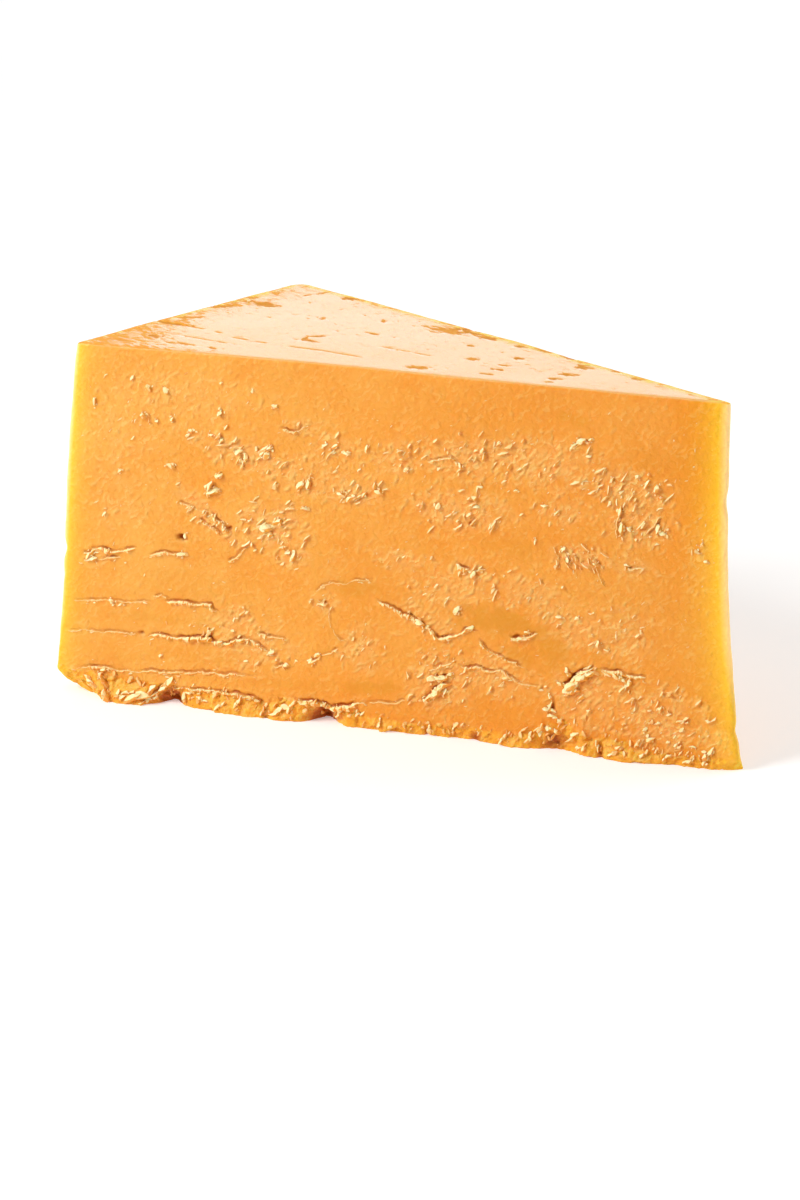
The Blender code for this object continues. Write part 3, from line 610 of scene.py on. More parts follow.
def torn_foot(x, z):
    """The cut face's flare and the broken chips of the ragged foot; and where it is broken."""
    flare = FACE_FLARE * smooth(z, FACE_FLARE_HEIGHT, 0) ** 1.5
    stand_out = np.interp(x, *zip(*FOOT_LINE))
    top = np.interp(x, *zip(*FOOT_TOP)) + 0.7 * noise(x, z, 2.4, 5) + 0.25 * noise(x, z, 0.8, 6)
    broken = smooth(z, top + 0.3, top - 0.5)
    relief = flare + (stand_out - flare) * smooth(z, top, 0)
    for size, height, seed in FOOT_CHIPS:
        relief += height * chips(x, 0.8 * z, size, seed) * broken
    return relief, broken


def wander(x, z):
    """How far, to the right and up, a crack's torn edge strays from its line."""
    return tuple(CRACK_WANDER * noise(x, z, CRACK_BEND, seed) + CRACK_JITTER * noise(x, z, 0.8, seed + 7)
                 for seed in (1, 2))


def crack(u, v, depth, half_width, path):
    """A torn crack that comes and goes: its relief, the shade painted in its groove and the highlight
    painted on the crumbly lip below it.
    """
    above, passed = beside_path(u, v, path)
    middle = smooth(passed, 0, CRACK_END_SHARE) * smooth(passed, 1, 1 - CRACK_END_SHARE)
    strength = CRACK_SHARE * depth * (CRACK_END_DEPTH + (1 - CRACK_END_DEPTH) * middle)
    strength *= np.clip(0.6 + 0.9 * noise(u, v, CRACK_BEAD, 7), 0.1, 1.2)
    groove = np.exp(-(above / half_width) ** 2)
    lip = smooth(-above, 0.2 * half_width, 1.5 * half_width)
    lip *= np.exp(-np.abs(above) / (LIP_REACH * half_width))
    lip *= 0.5 + 0.5 * smooth(noise(u, v, 0.9, 10), -0.4, 0.3)
    relief = strength * (LIP_HEIGHT * lip - groove)
    return relief, np.sqrt(strength) * groove, LIP_PAINTED_HIGHLIGHT * np.sqrt(strength) * lip


def torn_patches(grid):
    """How rough each place is torn, and the scales there."""
    rough, scales = np.zeros_like(grid.u), np.zeros_like(grid.u)
    for number, (*place, height, slant) in enumerate(ROUGH_PATCHES):
        span = grid.around_oval(place, 1.7)
        x, z = grid.u[span], grid.v[span]
        amount = height * smooth(oval(x, z, *place, ROUGH_EDGE, 100 + number), 1.35, 0.4)
        along, across = lies_along(x, z, slant)
        torn = chips(along / ROUGH_STRETCH, across, ROUGH_GRAIN, 200 + 7 * number)
        torn += 0.5 * chips(along / ROUGH_STRETCH, across, 0.55 * ROUGH_GRAIN, 600 + 7 * number)
        scales[span] = np.where(amount > rough[span], amount * torn, scales[span])
        raise_where(rough, span, amount)
    return rough, scales


def smeared_places(grid):
    """How smooth and dense the knife pressed each place."""
    smear = np.zeros_like(grid.u)
    for number, (*place, strength) in enumerate(SMEARS):
        span = grid.around_oval(place, 1.6)
        x, z = grid.u[span], grid.v[span]
        share = oval(x, z, *place, SMEAR_EDGE, 300 + number) + 0.26 * noise(x, z, 0.9, 330)
        raise_where(smear, span, strength * smooth(share, 1.2, 0.6))
    return smear


def raise_sliver(grid, out, pale, shade, x, z, length, width, turn, bend, strength):
    """The ground of a short bent sliver: a low ridge with a painted highlight, and a furrow at its lower
    right with painted shade.
    """
    span = grid.around([(x, z)], 0.5 * length + 1.0)
    right, up = grid.u[span] - x, grid.v[span] - z
    along = 2 * (right * math.cos(turn) + up * math.sin(turn)) / length
    taper = np.clip(1 - along ** 2, 0, 1)
    across = up * math.cos(turn) - right * math.sin(turn) - bend * taper
    ridge = strength * taper * np.exp(-(across / width) ** 2)
    furrow = strength * taper * np.exp(-((across + 2.0 * width) / (1.3 * width)) ** 2)
    out[span] += SLIVER_HEIGHT * (ridge - FURROW_DEPTH * furrow)
    raise_where(pale, span, 0.95 * ridge)
    raise_where(shade, span, 0.7 * furrow)


def lay_slivers(grid, smooth_places):
    """Slivers in the torn patches, and stray ones in loose drifts all over the face."""
    draw = np.random.default_rng(21)
    places = [(x, z, turn, 0.6 + 0.4 * patch[5]) for patch in ROUGH_PATCHES
              for x, z, turn in strewn_over(draw, patch, SLIVERS_PER_SQUARE_CM)]
    stray_x, stray_z = draw.uniform(-79, 76, STRAY_SLIVERS), draw.uniform(3, HEIGHT - 1, STRAY_SLIVERS)
    drifts = noise(stray_x, stray_z, 11.0, 22) + 0.6 * noise(stray_x, stray_z, 4.0, 23)
    places += [(x, z, draw.normal(0.7, 0.6), 0.45) for x, z, drift in zip(stray_x, stray_z, drifts)
               if drift > draw.uniform(-0.5, 1.0)]
    slivers = []
    for x, z, turn, strength in places:
        length, width = 0.8 + 2.4 * draw.random() ** 1.4, draw.uniform(0.18, 0.34)
        strength *= draw.uniform(0.3, 1.0) * (1 - grid.read_one(smooth_places, x, z))
        if strength > 0.08:
            slivers.append((x, z, length, width, turn, draw.normal(0, 0.13) * length, strength))
    return slivers


def make_cut_face():
    """Relief and finish of the torn cut face, with the highlight and shade painted on it."""
    grid = FaceGrid(*CUT_FACE_GRID)
    x, z = grid.u, grid.v
    stray_x, stray_z = wander(x, z)
    bent_x, bent_z = x + stray_x, z + stray_z
    rough, scales = torn_patches(grid)
    smear = smeared_places(grid)
    foot, broken = torn_foot(x, z)
    rough *= 1 - broken
    smear *= 1 - broken

    height, spacing, longer, seed = FACE_DRAG_LINES
    dragged = smooth(z + 0.2 * x, 32, 12) * smooth(x, 0, -40)
    out = waves(x, z, CUT_FACE_WAVES) + foot
    out += waves(x, z, FACE_PEBBLES) * (1 - 0.8 * smear) * (0.7 + 0.6 * rough)
    out += height * noise(x / longer, z, spacing, seed) * (0.25 + dragged)
    out += ROUGH_HEIGHT * scales * (1 - 0.7 * smear)

    groove, pale, shade = np.zeros_like(x), np.zeros_like(x), np.zeros_like(x)
    slivers = lay_slivers(grid, np.maximum(smear, broken))
    for sliver in slivers:
        raise_sliver(grid, out, pale, shade, *sliver)
    # Crack grooves get painted shade, and the lips below them a painted highlight.
    for depth, half_width, *path in CRACKS:
        span = grid.around(path, 6 * LIP_REACH * half_width)
        relief, opening, lip = crack(bent_x[span], bent_z[span], depth, half_width, path)
        out[span] += relief
        raise_where(groove, span, opening)
        raise_where(pale, span, lip)
    for *hollow, depth in HOLLOWS:
        span = grid.around_oval(hollow, 3)
        ragged = 1 + 0.25 * chips(x[span], z[span], 1.4, 95)
        pit = depth * ragged * dome(bent_x[span], bent_z[span], *hollow) ** 1.5
        out[span] -= pit
        # Painted shade in the hollow.
        raise_where(groove, span, 0.55 * pit)
    for *knob, height in KNOBS:
        span = grid.around_oval(knob, 3)
        out[span] += height * dome(bent_x[span], bent_z[span], *knob)
    # A shadow painted on the ground at the lower right of each crumb and torn flake.
    for bit_x, bit_z, length, _ in BIG_CRUMBS + TORN_FLAKES:
        span = grid.around([(bit_x, bit_z)], 2 * length)
        painted_shadow_oval = (bit_x + 0.3 * length, bit_z - 0.35 * length, 0.5 * length, 0.4 * length)
        raise_where(shade, span, CRUMB_PAINTED_SHADOW * dome(bent_x[span], bent_z[span], *painted_shadow_oval))

    # Painted highlight on places that stand proud and on slopes that face the painted light side; painted
    # shade in hollows and on slopes that face away.
    proud = np.clip((out - grid.blurred(out, PROUD_REACH)) / PROUD_HEIGHT, -1, 1)
    rise_up, rise_right = np.gradient(out, grid.CELL)
    looks_up = -PAINTED_LIGHT_SIDE[0] * rise_right - PAINTED_LIGHT_SIDE[2] * rise_up
    pale = np.maximum(pale, np.maximum(0.4 * proud, 0.7 * smooth(looks_up, 0.12, 0.8)))
    pale = np.clip(pale, 0, 1)
    shade = np.maximum(shade, np.maximum(-0.5 * proud, 0.7 * smooth(-looks_up, 0.1, 0.7)))
    shade = np.clip(shade, 0, 1) * (1 - pale)
    return {"grid": grid, "out": out, "torn": rough, "broken": broken, "smeared": smear,
            "cracked": np.clip(groove, 0, 1), "pale": pale, "shaded": shade, "slivers": slivers}


def make_top_face():
    """Relief and finish of the glossy top."""
    grid = FaceGrid(*TOP_GRID)
    x, y = grid.u, grid.v
    *swell, height = TOP_SWELL
    out = height * dome(x, y, *swell) + waves(x, y, TOP_WAVES)
    width, longer, degrees = SCRAPE_STREAKS
    along, across = lies_along(x, y, degrees)
    streaks = noise(along / longer, across, width, 36)
    streaks += 0.5 * noise(along / longer, across, 0.5 * width, 37)
    bare = np.zeros_like(x)
    for number, (*place, amount) in enumerate(TOP_SCRAPES):
        span = grid.around_oval(place, 2)
        share = oval(x[span], y[span], *place, SCRAPE_EDGE, 400 + number)
        raise_where(bare, span, amount * smooth(share + 0.9 * streaks[span], 1.2, 0.6))
    for half_width, *path in TOP_SCRATCHES:
        span = grid.around(path, 3)
        above, _ = beside_path(x[span] + 0.3 * noise(x[span], y[span], 4, 33), y[span], path)
        strength = np.exp(-(above / half_width) ** 2) * smooth(noise(x[span], y[span], 3, 34), -0.5, 0.1)
        raise_where(bare, span, 0.6 * strength)
        out[span] -= SCRATCH_DEPTH * strength
    draw = np.random.default_rng(17)
    for _ in range(TOP_PITS):
        middle = draw.uniform(-75, 75), draw.uniform(1, 60)
        half_sizes = draw.uniform(0.25, 1.0), draw.uniform(0.14, 0.3)
        span = grid.around([middle], 3)
        share = oval(x[span], y[span], *middle, *half_sizes, draw.normal(-35, 30), SCRAPE_EDGE, 35)
        raise_where(bare, span, draw.uniform(0.15, 0.6) * smooth(share, 1.4, 0.4))
    out -= SCRAPE_DEPTH * bare * (1 + 0.5 * streaks)

    back, short_way, _, long_way, _ = outer_sides()
    from_long, from_short = ((x - back[0]) * way[0] + (y - back[1]) * way[1]
                             for way in (short_way, long_way))
    marked = np.maximum(1.1 * smooth(y, 5, 1) * smooth(x, -32, -50), 1.6 * smooth(x, -46, -66))
    marked = np.maximum(marked, LEAST_MARKED)
    for away, (reach, amount) in zip((from_short, from_long), EDGE_MARKS):
        marked = np.maximum(marked, amount * smooth(away + 2 * noise(x, y, 5, 39), reach, 0.1 * reach))
    # Where yellow light is painted along the top's back edges.
    rim = smooth(np.minimum(from_long, from_short) + noise(x, y, 1.6, 38), TOP_RIM, 0.3 * TOP_RIM)
    return {"grid": grid, "out": out, "bare": bare, "rim": rim, "marked": marked}


def block_corners():
    """The sharp corners of the top: left and right end of the cut, and the square back corner."""
    left = Vector((-FRONT_WIDTH / 2 - WORN_ENDS[0], 0.0))
    right = Vector((FRONT_WIDTH / 2 + WORN_ENDS[1], 0.0))
    cut_length = right.x - left.x
    long_side = math.sqrt(cut_length ** 2 - SHORT_SIDE ** 2)
    back = left + Vector((SHORT_SIDE, long_side)) * SHORT_SIDE / cut_length
    return left, right, back


def rounded_outline(corners, radii, steps=6):
    """A closed flat outline with an arc at each corner."""
    outline = []
    for index, corner in enumerate(corners):
        before = (corners[index - 1] - corner).normalized()
        after = (corners[(index + 1) % len(corners)] - corner).normalized()
        half_angle = before.angle(after) / 2
        middle = corner + (before + after).normalized() * radii[index] / math.sin(half_angle)
        reach = radii[index] / math.tan(half_angle)
        start = (corner + before * reach - middle).normalized()
        end = (corner + after * reach - middle).normalized()
        for step in range(steps + 1):
            outline.append(middle + start.slerp(end, step / steps) * radii[index])
    return outline


def add_object(name, data):
    obj = bpy.data.objects.new(name, data)
    bpy.context.scene.collection.objects.link(obj)
    return obj


def evaluated_copy(obj, name):
    """A mesh object at the origin that takes another object's place, with its modifiers worked in."""
    mesh = bpy.data.meshes.new_from_object(obj.evaluated_get(bpy.context.evaluated_depsgraph_get()))
    mesh.transform(obj.matrix_world)
    bpy.data.objects.remove(obj)
    copy = add_object(name, mesh)
    bpy.context.view_layer.update()
    return copy


def add_block():
    """The upright block, as a closed even skin."""
    curve = bpy.data.curves.new("block_outline", "CURVE")
    curve.dimensions = "2D"
    curve.fill_mode = "BOTH"
    curve.extrude = (HEIGHT + FOOT_SPARE) / 2
    outline = rounded_outline(block_corners(), (CUT_CORNER_RADIUS, CUT_CORNER_RADIUS, BACK_CORNER_RADIUS))
    spline = curve.splines.new("POLY")
    spline.points.add(len(outline) - 1)
    for point, place in zip(spline.points, outline):
        point.co = (place.x, place.y, 0.0, 1.0)
    spline.use_cyclic_u = True
    outline_object = add_object("block_outline", curve)
    outline_object.location.z = (HEIGHT - FOOT_SPARE) / 2
    bpy.context.view_layer.update()

    block = evaluated_copy(outline_object, "block")
    shape = bmesh.new()
    shape.from_mesh(block.data)
    bmesh.ops.remove_doubles(shape, verts=shape.verts, dist=1e-3)
    shape.to_mesh(block.data)
    shape.free()

    skin = block.modifiers.new("skin", "REMESH")
    skin.mode = "VOXEL"
    skin.voxel_size = SKIN
    softened = block.modifiers.new("softened edges", "SMOOTH")
    softened.factor = 0.5
    softened.iterations = SKIN_SMOOTHING
    bpy.context.view_layer.update()
    return evaluated_copy(block, "wedge")


def outer_sides():
    """The back corner and, from it, the direction and length of the short and the long side."""
    left, right, back = (np.array(corner) for corner in block_corners())
    short_length, long_length = np.linalg.norm(left - back), np.linalg.norm(right - back)
    return back, (left - back) / short_length, short_length, (right - back) / long_length, long_length


def read_vectors(rows, name):
    """The points or the normals of a mesh."""
    values = np.empty(len(rows) * 3, dtype=np.float32)
    rows.foreach_get(name, values)
    return values.reshape(-1, 3).astype(np.float64)


def side_leans(z):
    """How far the short and the long side stand out at some heights."""
    drop = np.clip(1 - z / HEIGHT, 0, None)
    return SHORT_SIDE_LEAN * drop ** SHORT_SIDE_LEAN_LAW, LONG_SIDE_LEAN * drop ** LONG_SIDE_LEAN_LAW


def lean(points, share_left, share_right, short_way, long_way):
    """The outer sides stand further out towards the foot, while the cut face keeps its plane."""
    short_lean, long_lean = side_leans(points[:, 2:])
    right_along_cut = np.array((1.0, 0.0))
    left_corner = -short_lean / long_way[0] * right_along_cut
    right_corner = -long_lean / short_way[0] * right_along_cut
    back_corner = -short_lean * long_way - long_lean * short_way
    share_left, share_right = share_left[:, None], share_right[:, None]
    share_back = 1 - share_left - share_right
    points[:, :2] += share_left * left_corner + share_right * right_corner + share_back * back_corner


def near(depth):
    """1 on a face and 0 from FACE_DEPTH below it."""
    return smooth(depth, FACE_DEPTH, 0.3)


def shape_wedge(wedge, cut_face, top_face):
    """Lean the outer sides, then press every face's relief into the even skin."""
    points = read_vectors(wedge.data.vertices, "co")
    back, short_way, short_length, long_way, long_length = outer_sides()
    along_short = (points[:, :2] - back) @ short_way
    along_long = (points[:, :2] - back) @ long_way
    below_top = HEIGHT - points[:, 2]
    lean(points, along_short / short_length, along_long / long_length, short_way, long_way)

    x, y, z = points.T.copy()
    short_side_out = waves(along_short, z, OUTER_SIDE_WAVES) * near(along_long)
    long_side_out = waves(-along_long, z, OUTER_SIDE_WAVES) * near(along_short)
    points[:, :2] -= np.outer(short_side_out, long_way) + np.outer(long_side_out, short_way)

    thickness = np.clip(long_length - along_long, 0, None) * short_length / long_length
    relief = cut_face["grid"].read(cut_face["out"], x, z)
    cut_out = np.maximum(relief, -DEEPEST_SHARE * thickness)
    points[:, 1] -= cut_out * near(y) * smooth(below_top, -0.5, 1.6)
    points[:, 2] += top_face["grid"].read(top_face["out"], x, y) * near(below_top)

    broken = CHIP_DEPTH * np.clip(1 - z / CHIP_HEIGHT, 0, 1.4) ** CHIP_LAW
    points[:, 0] += broken * smooth(np.hypot(x - x.min(), y), CHIP_REACH, 0)
    left, right, _ = block_corners()
    edge_x = {-1: left.x, 1: right.x}
    for end, nick_z, half_height, depth in NICKS:
        close = smooth(np.hypot(x - edge_x[end], y), NICK_REACH, 0)
        points[:, 0] -= end * depth * np.exp(-((z - nick_z) / half_height) ** 2) * close
    wedge.data.vertices.foreach_set("co", points.astype(np.float32).ravel())
    wedge.data.update()

    shown = wedge.vertex_groups.new(name="free_to_thin")
    kept = np.maximum(near(y), near(below_top)) > 0.5
    shown.add(np.flatnonzero(~kept).tolist(), 1.0, "REPLACE")
    shown.add(np.flatnonzero(kept).tolist(), 1.0 - FACE_KEEP, "REPLACE")


def thin_out(wedge):
    """Keep only as many faces as the relief needs."""
    triangles = sum(len(face.vertices) - 2 for face in wedge.data.polygons)
    fewer = wedge.modifiers.new("fewer faces", "DECIMATE")
    fewer.ratio = TRIANGLES / triangles
    fewer.use_collapse_triangulate = True
    fewer.vertex_group = "free_to_thin"
    fewer.vertex_group_factor = EVENNESS
    bpy.context.view_layer.update()
    return evaluated_copy(wedge, "cheddar_wedge")


def cut_foot(wedge):
    """Cut the foot off flat."""
    shape = bmesh.new()
    shape.from_mesh(wedge.data)
    everything = shape.verts[:] + shape.edges[:] + shape.faces[:]
    bmesh.ops.bisect_plane(shape, geom=everything, dist=0.05, plane_co=(0, 0, 0), plane_no=(0, 0, 1),
                           clear_inner=True)
    rim = [edge for edge in shape.edges if edge.is_boundary]
    for vert in {vert for edge in rim for vert in edge.verts}:
        vert.co.z = 0.0
    bmesh.ops.triangle_fill(shape, use_beauty=True, edges=rim, normal=(0, 0, -1))
    bmesh.ops.dissolve_degenerate(shape, edges=shape.edges, dist=0.005)
    bmesh.ops.recalc_face_normals(shape, faces=shape.faces)
    shape.to_mesh(wedge.data)
    shape.free()


def edge_thinness(points):
    """How near a place is to the two sharp upright edges, where light comes through the cheese."""
    x, y, z = points.T
    left, right, _ = block_corners()
    _, short_way, _, long_way, _ = outer_sides()
    short_lean, long_lean = side_leans(z)
    from_left = np.hypot(x - (left.x - short_lean / long_way[0]), y)
    from_right = np.hypot(x - (right.x - long_lean / short_way[0]), y)
    fade, high, low = RIGHT_THIN_FADE
    right_thinness = np.exp(-(from_right / RIGHT_THIN_REACH) ** RIGHT_THIN_LAW)
    right_thinness *= 1 - fade * smooth(z, high, low)
    return np.maximum(np.exp(-from_left / LEFT_THIN_REACH), right_thinness)


def store(mesh, name, values):
    """Hold a value at each point of a mesh."""
    layer = mesh.attributes.new(name, "FLOAT", "POINT")
    layer.data.foreach_set("value", values.astype(np.float32))


def give_finish(wedge, cut_face, top_face):
    """Store on the wedge's points how torn, smeared, cracked, thin and glossy each place is, and the
    highlight, shade and light painted on it.
    """
    mesh = wedge.data
    points = read_vectors(mesh.vertices, "co")
    _, looks_back, looks_up = read_vectors(mesh.vertex_normals, "vector").T
    x, y, z = points.T
    on_top = smooth(z, HEIGHT - 1.6, HEIGHT - 0.5) * smooth(looks_up, 0.45, 0.8)
    on_cut = smooth(y, 4.5, 3.0) * smooth(-looks_back, -0.35, 0.05) * (1 - on_top)
    finish = {name: on_cut * cut_face["grid"].read(cut_face[name], x, z)
              for name in ("torn", "broken", "smeared", "cracked", "pale", "shaded")}
    finish |= {name: on_top * top_face["grid"].read(top_face[name], x, y) for name in ("bare", "marked")}
    # The painted yellow light along the top's back edges, a little of it also on the outer sides.
    at_rim = (1 - on_cut) * (0.15 + 0.85 * on_top) * smooth(z, HEIGHT - 1.8, HEIGHT - 0.9)
    finish["rim"] = at_rim * top_face["grid"].read(top_face["rim"], x, y)
    # The colour is richer towards the right, less so in an oval there, and richer along the right of
    # the foot and at the upper right.
    rich = on_cut * (0.55 * smooth(x, -70, 60) * (1 - 0.4 * dome(x, z, *PALE_OVAL))
                     + 0.3 * smooth(z, 18, 3) * smooth(x, -45, -5)
                     + 0.5 * smooth(x, 58, 70) * smooth(z, 32, 48))
    finish |= {"cut": on_cut, "glossy": on_top, "thin": edge_thinness(points) * (0.25 + 0.75 * on_cut),
               "rich": rich}
    for name, values in finish.items():
        store(mesh, name, values)


def settle(obj):
    """Scale a piece from millimetres to metres and stand it over the middle of its footprint."""
    move = Matrix.Translation((-FOOTPRINT_MIDDLE[0] * MM, -FOOTPRINT_MIDDLE[1] * MM, 0.0))
    obj.data.transform(move @ Matrix.Scale(MM, 4))
    obj.data.update()


def make_wedge(cut_face, top_face):
    wedge = add_block()
    shape_wedge(wedge, cut_face, top_face)
    wedge = thin_out(wedge)
    cut_foot(wedge)
    wedge.data.shade_smooth()
    give_finish(wedge, cut_face, top_face)
    settle(wedge)
    return wedge


def bit_shape(rounds):
    """Points and triangles of a plain round bit, one unit in radius."""
    shape = bmesh.new()
    bmesh.ops.create_icosphere(shape, subdivisions=rounds, radius=1.0)
    points = np.array([vert.co for vert in shape.verts])
    triangles = np.array([[vert.index for vert in face.verts] for face in shape.faces])
    shape.free()
    return points, triangles


def turned(points, angle, first, second):
    """Points turned about the third axis, from the first axis towards the second."""
    cos, sin = np.cos(angle)[:, None], np.sin(angle)[:, None]
    result = points.copy()
    result[..., first] = points[..., first] * cos - points[..., second] * sin
    result[..., second] = points[..., first] * sin + points[..., second] * cos
    return result


def chipped(points, draw):
    """Round bits, a little larger, with flat facets broken off each of them."""
    points = BIT_SWELL * points
    for _ in range(BIT_FACETS):
        facing = draw.normal(size=(len(points), 1, 3))
        facing /= np.linalg.norm(facing, axis=2, keepdims=True)
        reach = draw.uniform(*FACET_REACH, (len(points), 1, 1))
        proud = np.clip((points * facing).sum(axis=2, keepdims=True) - reach, 0, None)
        points = points - proud * facing
    return points


def make_bits(name, cut_face, bits, rounds, unevenness, seed):
    """One mesh of many angular bits of curd that cling to the cut face.

    A bit is its place, length, width, thickness, direction, bend, tilt, how deep it sits and how
    strong the highlight painted on its facets that face the light is.
    """
    draw = np.random.default_rng(seed)
    base, triangles = bit_shape(rounds)
    x, z, length, width, thick, direction, bend, tilt, sunk, pale = np.array(bits).T
    count = len(x)
    size = np.stack([length, thick, width], axis=1)[:, None] / 2
    points = base[None] * (1 + unevenness * draw.uniform(-1, 1, (count, len(base), 1)))
    points = size * chipped(points, draw)
    points[..., 2] += bend[:, None] * (1 - base[:, 0] ** 2)
    points = turned(turned(points, tilt, 1, 2), direction, 0, 2)
    out = cut_face["grid"].read(cut_face["out"], x, z)
    points += np.stack([x, -out - (0.5 - sunk) * thick, z], axis=1)[:, None]

    faces = (triangles[None] + len(base) * np.arange(count)[:, None, None]).reshape(-1, 3)
    return curd_piece(name, points.reshape(-1, 3), faces, np.repeat(pale, len(base)))


def curd_piece(name, points, faces, pale):
    """A piece of loose curd, pressed flat at the foot, whose points hold how strong its painted highlight
    is.
    """
    points[:, 2] = np.maximum(points[:, 2], 0.0)
    mesh = bpy.data.meshes.new(name)
    mesh.from_pydata(points.tolist(), [], faces.tolist())
    store(mesh, "painted_highlight", pale)
    piece = add_object(name, mesh)
    settle(piece)
    return piece


def lip_line(path):
    """Where a crack runs at even steps, strayed as its torn edge is, and its leftward sides."""
    passed = np.cumsum([0.0] + [math.dist(a, b) for a, b in zip(path, path[1:])])
    steps = np.arange(0.0, passed[-1], LIP_STEP)
    line_x, line_z = (np.interp(steps, passed, side) for side in zip(*path))
    x, z = line_x, line_z
    for _ in range(3):
        stray_x, stray_z = wander(x, z)
        x, z = line_x - stray_x, line_z - stray_z
    ahead_x, ahead_z = np.gradient(x), np.gradient(z)
    length = np.hypot(ahead_x, ahead_z)
    return x, z, -ahead_z / length, ahead_x / length, steps / passed[-1]


def make_lips(name, cut_face):
    """The torn strands of curd that stand up below the cracks, thick here and gone there."""
    draw = np.random.default_rng(31)
    around = 2 * math.pi * np.arange(LIP_SIDES) / LIP_SIDES
    points, faces, pale = [], [], []
    for depth, half_width, *path in CRACKS:
        x, z, side_x, side_z, passed = lip_line(path)
        thick = np.clip(0.85 + 0.6 * noise(x, z, CRACK_BEAD, 7) + 0.4 * noise(x, z, 1.1, 12), 0.4, 1.3)
        tapered = smooth(np.minimum(passed, 1 - passed), 0, 0.12)
        thick *= LIP_THICKNESS * min(1.0, 0.1 + 0.9 * depth) * tapered
        thick *= draw.uniform(0.8, 1.15, len(x))
        below = LIP_BELOW * (0.7 + half_width) + 0.5 * thick
        x, z = x - below * side_x, z - below * side_z
        out = cut_face["grid"].read(cut_face["out"], x, z) + 0.4 * thick - 0.08
        reach = thick[:, None] * draw.uniform(0.6, 1.25, (len(x), LIP_SIDES)) + 0.01
        ring = np.stack([x[:, None] + side_x[:, None] * reach * np.cos(around),
                         -out[:, None] - 1.2 * reach * np.sin(around),
                         z[:, None] + side_z[:, None] * reach * np.cos(around)], axis=2)
        first = sum(len(part) for part in points)
        points.append(ring.reshape(-1, 3))
        # How strong the highlight painted on the strand's light-facing facets is.
        pale.append(np.full(ring.shape[0] * LIP_SIDES, min(1.0, 0.35 + 0.65 * depth)))
        for step in range(len(x) - 1):
            start = first + step * LIP_SIDES
            for corner in range(LIP_SIDES):
                here, beside = start + corner, start + (corner + 1) % LIP_SIDES
                faces += [(here, beside, beside + LIP_SIDES), (here, beside + LIP_SIDES, here + LIP_SIDES)]
        last = first + (len(x) - 1) * LIP_SIDES
        for corner in range(1, LIP_SIDES - 1):
            faces += [(first, first + corner + 1, first + corner), (last, last + corner, last + corner + 1)]
    return curd_piece(name, np.concatenate(points), np.array(faces), np.concatenate(pale))


def on_face(x, z):
    """Whether a place is well on the cut face, and not on its upright edges or its top edge."""
    return -76 + 6 * (z / HEIGHT - 0.5) < x < 73 - 3 * (z / HEIGHT - 0.5) and 1.0 < z < HEIGHT - 2.5


def crumb_bits():
    """Crumbs: the big ones, broken into small pieces, and the foot's."""
    draw = np.random.default_rng(5)
    bits = []
    for x, z, length, direction in BIG_CRUMBS:
        turn = math.radians(direction)
        bits.append((x, z, 1.2 * length, 0.62 * length, 0.5 * length, turn, 0.0, -0.5, 0.15, 1.0))
        for _ in range(CRUMB_PARTS):
            place = moved(x, z, draw.normal(0, 0.38 * length), draw.normal(0, 0.24 * length), turn)
            size = length * draw.uniform(0.25, 0.6)
            width, part_turn = draw.uniform(0.4, 0.9) * size, turn + draw.normal(0, 0.8)
            tilt, pale = draw.uniform(-0.7, 0.1), draw.uniform(0.5, 1.0)
            bits.append((*place, size, width, 0.5 * size, part_turn, 0.0, tilt, 0.1, pale))
    for _ in range(FOOT_BITS):
        x = draw.uniform(-70, 74)
        z = 1.0 + draw.random() * np.interp(x, *zip(*FOOT_TOP))
        size = 0.5 + 1.5 * draw.random() ** 2
        width, turn = draw.uniform(0.3, 0.6) * size, draw.uniform(0.5, 1.9)
        tilt, pale = draw.uniform(-0.7, 0.0), draw.uniform(0.2, 0.9)
        bits.append((x, z, size, width, 0.4 * size, turn, 0.0, tilt, 0.25, pale))
    for x, z, length, direction in TORN_FLAKES:
        turn = math.radians(direction)
        for share in (-0.35, 0.0, 0.35):
            place = moved(x, z, share * length, 0.0, turn)
            width, part_turn = draw.uniform(0.25, 0.4) * length, turn + draw.normal(0, 0.25)
            bend, tilt = draw.normal(0, 0.06) * length, draw.uniform(-0.8, -0.2)
            bits.append((*place, 0.7 * length, width, 0.3 * length, part_turn, bend, tilt, 0.15, 1.0))
    return [bit for bit in bits if on_face(bit[0], bit[1])]


